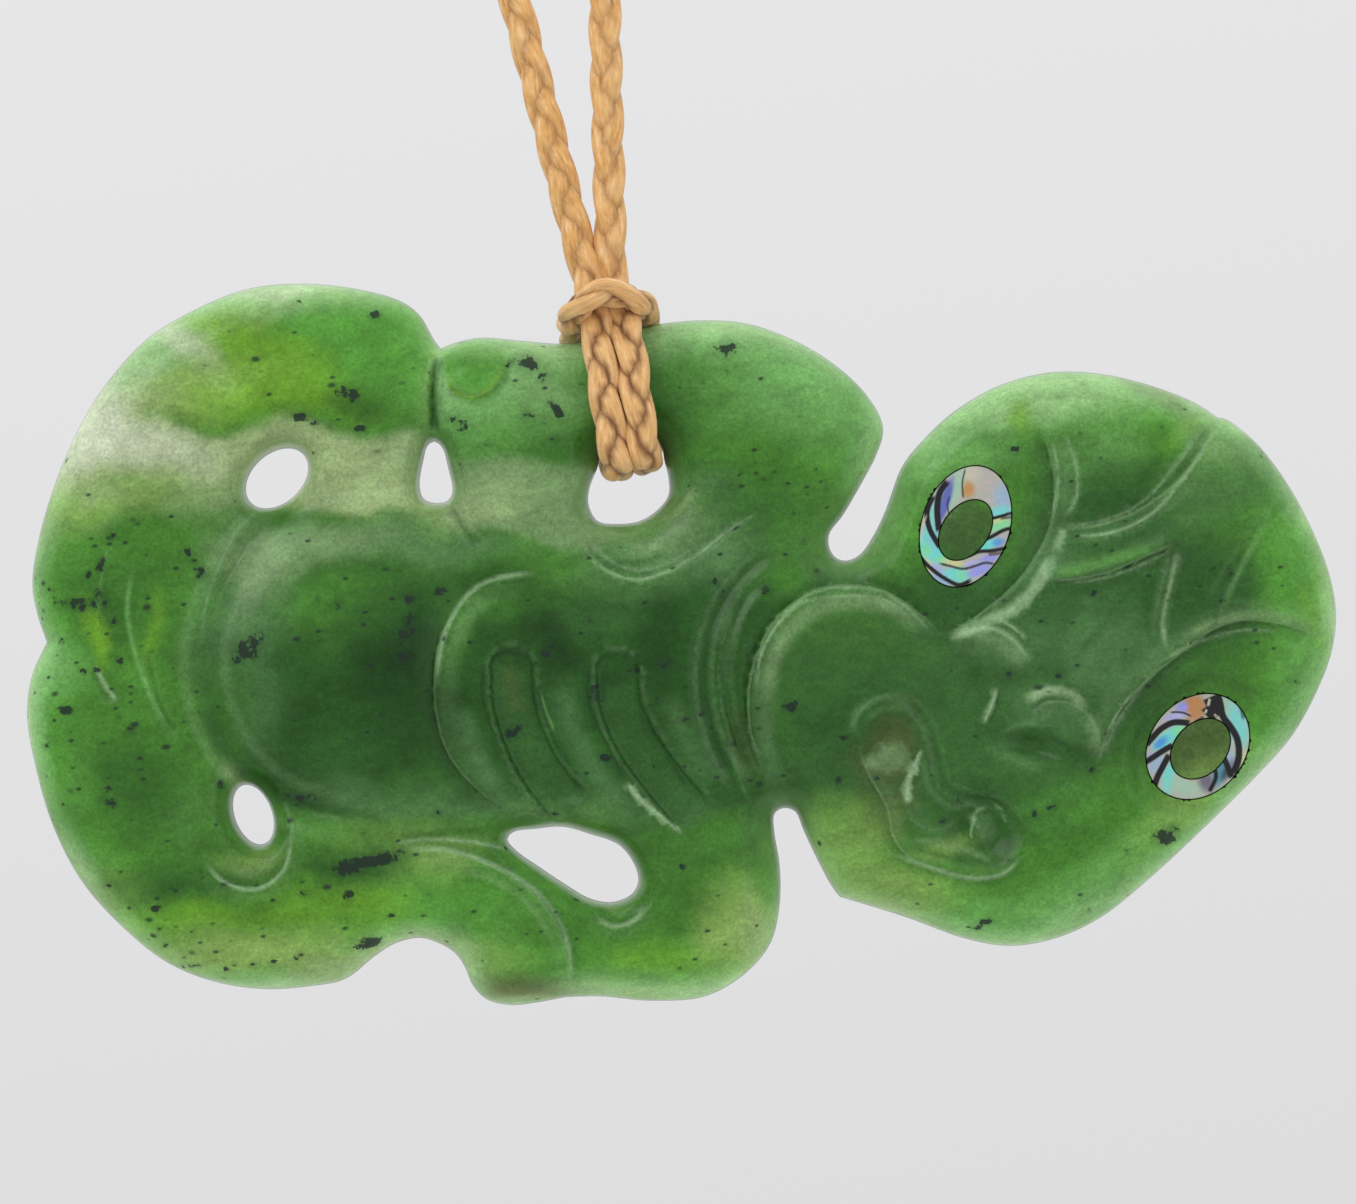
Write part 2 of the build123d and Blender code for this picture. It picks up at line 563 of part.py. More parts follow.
def bend_radii(points):
    """The radius of each corner of a route, as large as its two runs allow."""
    corners = [Vector(*point) for point in points]
    radii = []
    for before, here, after in zip(corners, corners[1:], corners[2:]):
        turn = (here - before).get_angle(after - here)
        shorter = min((here - before).length, (after - here).length)
        radii.append(0.45 * shorter / math.tan(math.radians(turn / 2)))
    return radii


def cord_tube(name, points):
    """One stretch of cord along straight runs joined by arcs."""
    radii = bend_radii(points)
    print(name, "radii", [round(radius, 1) for radius in radii])
    with BuildPart() as tube:
        with BuildLine() as path:
            FilletPolyline(*points, radius=radii)
        with BuildSketch(Plane(origin=path.line @ 0, z_dir=path.line % 0)):
            Circle(cord_diameter / 2)
        sweep()
    length = sum(edge.length for edge in path.edges())
    straight = math.pi * cord_diameter ** 2 / 4 * length
    print(name, "length", round(length, 1), "volume", round(tube.part.volume, 1), "of", round(straight, 1))
    return tube.part


facets = pendant_facets()
print("pendant facets", len(facets))
with BuildPart() as pendant:
    add(Solid(Shell([Face(Wire.make_polygon(facet, close=True)) for facet in facets])))
pendant.part.label = "pendant"


def eye_ring(outer, pupil):
    """A flat shell ring between two ovals, its front edges eased."""
    unit = figure_length / 100
    along, up = on_figure((outer.along, outer.up))
    shift = on_figure((pupil.along - outer.along, pupil.up - outer.up))
    seat = hung(along, up, eye_height(outer) - ring_thickness)
    c, s = math.cos(math.radians(outer.lean)), math.sin(math.radians(outer.lean))
    turn = math.radians(outer.lean - hang_tilt)
    with BuildPart() as ring:
        with BuildSketch(Plane(origin=seat, x_dir=(math.cos(turn), 0, math.sin(turn)), z_dir=(0, -1, 0))):
            Ellipse(outer.half_long * unit, outer.half_short * unit)
            with Locations((shift[0] * c + shift[1] * s, shift[1] * c - shift[0] * s)):
                Ellipse(pupil.half_long * unit, pupil.half_short * unit, rotation=pupil.lean - outer.lean,
                        mode=Mode.SUBTRACT)
        extrude(amount=ring_thickness)
        fillet(ring.edges().group_by(Axis.Y)[0], ring_edge)
    return ring.part


with BuildPart() as eye_ring_upper:
    add(eye_ring(*eye_rings["eye_ring_upper"]))
eye_ring_upper.part.label = "eye_ring_upper"

with BuildPart() as eye_ring_lower:
    add(eye_ring(*eye_rings["eye_ring_lower"]))
eye_ring_lower.part.label = "eye_ring_lower"

# The arm inside the lark's head, measured where the legs cross it
cord_stand = cord_gap + cord_diameter / 2
leg_pitch = cord_diameter + leg_gap
leg_low_pitch = cord_diameter + leg_low_gap


def top_at_legs(loop):
    """The highest place of a hung loop near the legs."""
    places = np.array([hung(along, up, 0) for along, up in loop])
    return places[np.abs(places[:, 0] - leg_middle) < leg_pitch][:, 2].max()


arm_top = top_at_legs(outline)
leg_low = top_at_legs(cord_hole_loop) - leg_low_drop
arm_shares = [(along, up) for along in arm_sample_along for up in arm_sample_up]
arm_sample = knot_middle + on_figure(arm_shares)
leg_front = -(float(front_surface(arm_sample).max()) + cord_stand)
leg_back = float(back_surface(arm_sample).max()) + cord_stand


def knot_leg(side, corner):
    """One leg of the lark's head: down the arm's front, through the hole and up behind to a corner."""
    foot, above = Vector(*strand_route[0]), Vector(*strand_route[1])
    bend = foot - (above - foot).normalized() * strand_foot
    across = leg_middle + side * leg_pitch / 2
    low = Vector(leg_middle + side * leg_low_pitch / 2, leg_back, leg_low)
    meet = low + (Vector(*corner) - low) * leg_meet
    return [
        (side * foot.X, foot.Y, foot.Z),
        (side * bend.X, bend.Y, bend.Z),
        (across, leg_front, arm_top - leg_top_drop),
        (low.X, leg_front, low.Z),
        (low.X, low.Y, low.Z),
        (meet.X, meet.Y, meet.Z),
    ]


bight = [(across, back, arm_top + above) for across, back, above in bight_route]
left_leg = knot_leg(-1, bight[0])
right_leg = knot_leg(1, bight[-1])
with BuildPart() as hitch:
    add(cord_tube("left leg", left_leg))
    add(cord_tube("right leg", right_leg))
    add(cord_tube("bight", [left_leg[-1]] + bight + [right_leg[-1]]))
hitch.part.label = "hitch"

# The ring of cord above the lark's head, in two halves that stop short of it and of the closing knot
foot, above = Vector(*strand_route[0]), Vector(*strand_route[1])
start = foot + (above - foot).normalized() * piece_gap
half_route = [(start.X, start.Y, start.Z)] + list(strand_route[1:])
half_route += [(top_turn, 0.0, top_middle), (knot_length / 2 + piece_gap, 0.0, top_middle)]
with BuildPart() as cord_right:
    add(cord_tube("cord_right", half_route))
cord_right.part.label = "cord_right"

with BuildPart() as cord_left:
    add(cord_tube("cord_left", [(-x, y, z) for x, y, z in half_route]))
cord_left.part.label = "cord_left"

with BuildPart() as cord_knot:
    with BuildSketch(Plane(origin=(-knot_length / 2, 0, top_middle), z_dir=(1, 0, 0))):
        Circle(knot_diameter / 2)
    extrude(amount=knot_length)
    fillet(cord_knot.edges().filter_by(GeomType.CIRCLE), knot_edge)
cord_knot.part.label = "cord_knot"

os.makedirs("parts", exist_ok=True)
export_step(pendant.part, "parts/pendant.step")
export_step(eye_ring_upper.part, "parts/eye_ring_upper.step")
export_step(eye_ring_lower.part, "parts/eye_ring_lower.step")
export_step(hitch.part, "parts/hitch.step")
export_step(cord_left.part, "parts/cord_left.step")
export_step(cord_right.part, "parts/cord_right.step")
export_step(cord_knot.part, "parts/cord_knot.step")
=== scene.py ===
import math
from collections import namedtuple

import bpy
import numpy as np
from bpy.props import FloatProperty, FloatVectorProperty, IntProperty, PointerProperty
from mathutils import Matrix, Vector, noise
from mathutils.geometry import delaunay_2d_cdt


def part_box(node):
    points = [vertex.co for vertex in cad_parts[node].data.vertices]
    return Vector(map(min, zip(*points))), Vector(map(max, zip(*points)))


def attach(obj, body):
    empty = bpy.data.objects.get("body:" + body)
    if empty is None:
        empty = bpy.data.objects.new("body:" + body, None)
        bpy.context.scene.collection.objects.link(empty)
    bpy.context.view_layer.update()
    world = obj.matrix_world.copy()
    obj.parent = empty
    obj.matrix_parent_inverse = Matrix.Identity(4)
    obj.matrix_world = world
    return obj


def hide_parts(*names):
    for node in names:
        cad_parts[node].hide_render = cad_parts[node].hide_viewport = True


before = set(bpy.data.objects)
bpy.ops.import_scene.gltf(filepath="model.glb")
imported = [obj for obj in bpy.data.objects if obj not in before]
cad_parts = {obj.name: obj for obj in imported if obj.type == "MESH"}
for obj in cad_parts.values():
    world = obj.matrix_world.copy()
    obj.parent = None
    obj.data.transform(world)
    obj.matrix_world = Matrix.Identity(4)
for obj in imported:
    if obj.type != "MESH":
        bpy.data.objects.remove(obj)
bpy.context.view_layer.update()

bl_info = {
    "name": "Hei tiki pendant",
    "version": (1, 0, 0),
    "blender": (4, 5, 0),
    "location": "View3D > Sidebar > Pendant",
    "description": "Carves the greenstone figure, inlays its shell eyes, plaits its cord and sets the stage",
    "category": "Object",
}

# The photograph, in its own pixels: the figure's length, where its legs' end and its foot lie, and the
# frame's width and middle
figure_pixels = 1309
figure_left, figure_foot = 27.0, 1005.0
frame_pixels = 1356
frame_middle = (678.0, 602.0)

# An oval on the figure: percent of its length along and of its width up, half its length and half
# its width in percent of the figure's length, and its lean in degrees
Oval = namedtuple("Oval", "along up half_long half_short lean")

# The outline, one table between two sharp corners each, in percent of the figure's length and width
upper_arm_and_brow = (
    (31.6, 91.0), (32.7, 91.8), (34.6, 92.5), (37.7, 92.1), (41.1, 91.7), (44.5, 92.8),
    (48.0, 94.3), (51.4, 94.9), (54.9, 94.5), (58.3, 92.4), (61.3, 89.3), (63.8, 85.3),
    (65.2, 81.4), (65.4, 79.3), (64.9, 76.3), (63.6, 71.8), (62.3, 67.8), (61.3, 65.3),
    (61.3, 63.4), (61.8, 62.0), (62.6, 61.6), (63.6, 62.4), (64.6, 64.9), (65.5, 68.2),
    (66.9, 74.8), (68.6, 78.6), (70.9, 82.4), (74.3, 85.9), (78.2, 87.7), (82.0, 87.5),
    (85.8, 85.9), (89.2, 83.5), (91.0, 81.4),
)
crown_and_jaw = (
    (91.0, 81.4), (91.5, 81.3), (93.8, 78.1), (96.1, 72.8), (98.0, 66.6), (99.4, 60.3),
    (100.0, 54.5), (99.7, 49.2), (98.6, 43.7), (96.6, 37.2), (93.8, 31.5), (90.0, 24.7),
    (85.8, 17.6), (82.0, 12.1), (78.5, 9.2), (75.1, 8.2), (71.7, 9.2), (67.1, 12.2),
    (62.1, 15.0),
)
neck_slot_and_lower_arm = (
    (62.1, 15.0), (61.5, 16.4), (60.4, 20.1), (59.3, 24.3), (58.7, 26.8), (57.8, 27.3),
    (57.1, 26.5), (57.1, 24.0), (57.5, 19.4), (57.5, 13.9), (56.8, 8.6), (54.9, 4.4),
    (51.8, 1.2), (47.6, 0.6), (43.8, 1.2), (41.2, 1.1),
)
lower_hand_and_leg = (
    (41.2, 1.1), (38.8, 0.3), (36.9, 0.0), (35.1, 0.8), (34.0, 2.9), (33.5, 5.1),
    (32.7, 7.2), (31.3, 8.7), (29.9, 9.3), (28.1, 8.5), (26.6, 6.8), (24.3, 3.6),
    (21.6, 2.6), (18.2, 2.2), (14.4, 3.2), (10.9, 5.7), (7.9, 9.8), (4.4, 16.6),
    (2.1, 24.3), (0.8, 31.9), (0.0, 40.2), (0.4, 45.8), (1.5, 50.3),
)
upper_leg = (
    (1.5, 50.3), (0.8, 54.1), (0.4, 58.3), (0.8, 63.8), (1.8, 70.5), (3.4, 77.9),
    (5.6, 85.0), (9.0, 92.1), (12.5, 96.1), (16.7, 99.2), (20.9, 100.0), (25.1, 99.3),
    (28.5, 97.6), (30.0, 95.6), (31.1, 92.2), (31.6, 91.0),
)
outline_runs = (upper_arm_and_brow, crown_and_jaw, neck_slot_and_lower_arm, lower_hand_and_leg, upper_leg)

# The holes: two round ones at the knees, and three of free shape
upper_knee_hole = Oval(19.1, 73.0, 2.71, 1.87, 42.0)
lower_knee_hole = Oval(17.3, 26.4, 2.37, 1.41, 110.6)
waist_slot = (
    (31.1, 78.1), (31.7, 77.3), (32.2, 74.2), (32.5, 71.4), (32.2, 70.0),
    (31.2, 69.6), (30.3, 70.2), (30.0, 72.1), (30.3, 75.6), (30.6, 77.5),
)
cord_hole = (
    (43.9, 77.2), (44.6, 78.7), (46.2, 79.3), (47.8, 78.8), (48.5, 77.2), (48.7, 75.4), (49.0, 73.1),
    (49.0, 70.7), (48.2, 68.7), (46.8, 67.1), (45.2, 66.7), (43.6, 67.1), (42.9, 69.4), (43.0, 71.8),
    (43.6, 74.6),
)
elbow_hole = (
    (36.7, 23.0), (37.2, 24.0), (38.8, 24.4), (40.9, 24.7), (43.0, 23.7), (45.2, 22.2), (46.3, 19.8),
    (46.7, 17.3), (46.2, 15.4), (44.7, 14.3), (43.0, 14.8), (41.1, 16.8), (39.2, 19.1), (37.4, 21.4),
)

# Swellings and hollows of the face: the oval of each, and its height as a share of the relief
swellings = {
    "belly": (Oval(25.1, 48.5, 13.6, 11.6, 0.0), 1.3),
    "chest": (Oval(43.5, 44.0, 14.0, 12.5, 0.0), 0.7),
    "cheek": (Oval(63.0, 42.5, 8.4, 8.2, 0.0), 0.9),
    "brow": (Oval(88.0, 62.0, 10.0, 13.0, 60.0), 0.5),
    "shoulder": (Oval(58.0, 78.0, 7.5, 6.0, -40.0), 0.4),
    "upper_nostril": (Oval(73.2, 47.0, 3.2, 3.0, 0.0), 0.6),
    "lower_nostril": (Oval(79.0, 37.8, 3.2, 3.0, 0.0), 0.6),
    "nose_trough": (Oval(76.9, 35.9, 3.2, 1.2, -12.0), -0.8),
    "left_mouth_pit": (Oval(65.7, 35.3, 2.9, 3.2, 0.0), -1.2),
    "left_mouth_knob": (Oval(65.7, 35.1, 1.2, 1.3, 0.0), 1.0),
    "right_mouth_pit": (Oval(72.8, 24.3, 3.4, 3.2, 0.0), -1.2),
    "right_mouth_knob": (Oval(72.8, 24.3, 1.3, 1.4, 0.0), 1.0),
    "mouth_channel": (Oval(69.2, 27.5, 4.2, 2.0, -50.0), -0.5),
    "upper_hand": (Oval(33.9, 88.2, 3.0, 2.2, -15.0), 0.5),
    "lower_hand": (Oval(37.2, 7.8, 4.4, 4.0, 0.0), 0.5),
}

# Carved lines: a cut is a round-bottomed groove, a slot a flat-bottomed one, and an edge stands up
# on one side and is scooped on the other. Columns: kind, side, width as a share of the line width,
# depth as a share of the relief, and the points that the line goes through.
carved_lines = {
    "belly_groove": ("cut", 1, 2.6, 0.9, (
        (22.8, 70.5), (18.2, 66.2), (15.2, 58.3), (13.8, 49.9), (14.2, 41.6), (16.3, 34.0),
        (20.2, 28.2), (25.8, 25.9))),
    "rib_edge": ("edge", 1, 2.0, 0.7, (
        (39.2, 59.8), (36.9, 59.4), (34.8, 58.1), (32.9, 54.8), (31.7, 50.3), (31.3, 45.1),
        (31.5, 39.5), (32.5, 34.3), (35.0, 29.3), (37.8, 26.5))),
    "first_rib_slot": ("slot", 1, 1.45, 0.5, (
        (37.1, 46.7), (37.2, 42.3), (38.0, 37.4), (39.4, 32.3), (41.9, 26.8))),
    "second_rib_slot": ("slot", 1, 1.45, 0.5, (
        (45.1, 46.2), (45.3, 42.0), (46.5, 36.8), (48.7, 31.2), (51.4, 25.4))),
    "collar": ("cut", 1, 1.1, 0.55, (
        (57.4, 63.4), (54.9, 60.1), (52.9, 55.1), (51.8, 49.2), (51.8, 42.3), (52.8, 35.6), (54.7, 29.1))),
    "collar_inner": ("cut", 1, 0.9, 0.4, (
        (56.6, 60.1), (54.6, 55.5), (53.5, 49.2), (53.5, 42.3), (54.5, 35.6), (55.9, 30.1))),
    "cheek_edge": ("edge", 1, 1.7, 0.8, (
        (70.1, 50.6), (68.1, 54.2), (65.6, 57.1), (62.7, 58.1), (60.0, 57.1), (57.5, 54.1),
        (55.8, 49.0), (55.1, 43.0), (55.4, 36.8), (56.6, 30.8))),
    "cord_scoop": ("edge", -1, 2.2, 0.5, (
        (42.5, 64.8), (43.5, 61.6), (45.3, 59.4), (47.6, 59.1), (50.3, 60.9), (52.9, 64.4), (55.8, 68.4))),
    "upper_socket": ("edge", 1, 1.8, 0.7, (
        (77.0, 80.9), (78.0, 76.3), (78.4, 71.2), (78.0, 66.2), (76.8, 61.7), (75.1, 57.8),
        (73.0, 54.6), (70.0, 50.9))),
    "brow_band": ("edge", 1, 1.5, 0.6, (
        (91.3, 81.1), (90.2, 78.4), (88.9, 74.9), (86.9, 71.2), (84.3, 68.1), (81.6, 66.4), (78.5, 65.9))),
    "second_brow": ("edge", 1, 1.5, 0.6, (
        (77.4, 58.9), (80.1, 59.1), (82.7, 60.2), (85.4, 62.3), (87.9, 64.4))),
    "brow_tip": ("cut", 1, 0.9, 0.35, ((87.9, 64.4), (87.2, 60.1), (86.6, 55.5), (86.2, 50.6))),
    "lower_socket": ("edge", -1, 1.8, 0.7, (
        (99.4, 50.2), (97.3, 52.0), (94.8, 53.1), (92.3, 53.3), (90.0, 51.7), (87.7, 48.5),
        (85.4, 45.1), (83.5, 41.5), (82.2, 37.4), (81.5, 33.1))),
    "crown_line": ("cut", 1, 0.9, 0.25, ((96.5, 70.5), (93.8, 65.9), (91.9, 60.6), (90.2, 55.5))),
    "upper_nostril_arc": ("edge", -1, 1.1, 0.35, (
        (70.1, 50.6), (71.7, 52.0), (73.4, 52.3), (75.0, 50.6), (76.0, 47.6))),
    "lower_nostril_arc": ("edge", -1, 1.1, 0.35, (
        (76.6, 40.6), (77.8, 42.0), (79.3, 42.0), (80.8, 40.4), (81.7, 37.4), (81.6, 33.7))),
    "upper_lip": ("cut", 1, 0.9, 0.3, (
        (63.3, 36.5), (63.8, 40.1), (65.2, 42.0), (67.1, 42.0), (68.6, 39.3), (69.4, 34.7), (70.1, 30.5),
        (71.9, 28.9), (74.0, 28.0), (75.5, 25.4), (76.0, 21.5))),
    "lower_lip": ("edge", 1, 1.1, 0.35, (
        (63.3, 36.5), (64.3, 31.9), (65.6, 27.7), (66.2, 23.2), (67.5, 20.4), (69.8, 18.9), (72.7, 17.8),
        (75.0, 19.0), (76.0, 21.5))),
    "leg_groove": ("cut", 1, 1.0, 0.9, ((31.6, 90.4), (31.1, 86.0), (31.1, 81.8), (31.3, 79.0))),
    "waist_line": ("cut", 1, 1.0, 0.3, ((32.2, 68.9), (33.2, 66.6), (34.6, 63.4))),
    "finger_edge": ("edge", 1, 1.1, 0.35, (
        (32.2, 86.4), (33.8, 84.3), (35.5, 85.3), (36.6, 88.1), (36.9, 90.6))),
    "wrist_line": ("cut", 1, 0.9, 0.3, ((28.1, 23.2), (30.4, 23.7), (33.2, 24.1), (35.9, 24.4))),
    "hand_edge": ("edge", -1, 1.3, 0.45, (
        (28.3, 21.8), (30.8, 21.9), (33.5, 20.8), (36.1, 19.0), (38.8, 15.5), (40.7, 10.4), (41.6, 5.1),
        (41.3, 1.6))),
    "elbow_scoop": ("edge", -1, 1.1, 0.35, (
        (43.2, 13.5), (44.2, 11.5), (45.5, 11.2), (46.8, 12.5), (47.8, 14.8))),
    "knee_scoop": ("edge", -1, 1.3, 0.35, (
        (13.7, 19.8), (14.9, 17.5), (16.9, 16.4), (18.9, 17.3), (20.1, 20.4), (20.3, 24.0), (19.7, 26.8))),
    "toe_mark": ("cut", 1, 0.8, 0.25, ((5.0, 46.7), (5.9, 44.0), (6.7, 41.9))),
    "foot_mark": ("cut", 1, 0.8, 0.25, ((9.4, 49.2), (9.9, 43.7), (11.5, 37.0))),
}

# The shell rings: the outer oval, and the oval of the stone pupil inside it
eye_rings = {
    "upper": (Oval(71.6, 66.3, 4.70, 3.30, 71.0), Oval(71.6, 65.8, 2.60, 1.80, 54.0)),
    "lower": (Oval(89.3, 35.9, 4.32, 3.55, 48.0), Oval(89.5, 35.6, 2.65, 2.00, 46.0)),
}

# Colour in the stone. The places are pixels of the whole photograph, so that each can be set against
# it. A wash fills a loop, and softens over a width at its edge. Columns: tone, strength, softness and
# the loop.
stone_washes = (
    ("moss", 0.95, 34, ((785, 720), (788, 650), (830, 610), (900, 596), (950, 545), (1010, 570),
        (1040, 500), (1085, 470), (1160, 480), (1215, 540), (1262, 580), (1240, 650), (1165, 680),
        (1130, 730), (1090, 800), (1010, 830), (930, 830), (850, 812), (800, 780))),
    ("deep", 0.95, 26, ((216, 700), (222, 640), (246, 592), (292, 560), (352, 556), (420, 566), (480, 576),
        (540, 580), (610, 590), (680, 572), (742, 560), (772, 600), (776, 690), (764, 790), (712, 812),
        (640, 800), (560, 796), (470, 784), (400, 782), (330, 800), (268, 784), (230, 744))),
    ("straw", 0.95, 9, ((50, 486), (62, 450), (84, 408), (100, 398), (130, 411), (165, 423), (210, 434),
        (262, 428), (292, 419), (330, 427), (365, 431), (436, 439), (440, 470), (430, 512), (350, 514),
        (250, 506), (150, 484), (90, 488))),
    ("sage", 0.9, 9, ((440, 445), (470, 454), (505, 464), (560, 473), (592, 477), (586, 500), (604, 524),
        (640, 530), (600, 550), (540, 544), (490, 530), (440, 512))),
)

# The depths under the outline, in metres, at which the stone passes through rim, leaf, bright and green, as
# the painted light through its thin rim fades
rim_depths = (0.0, 0.0009, 0.0019, 0.0046)

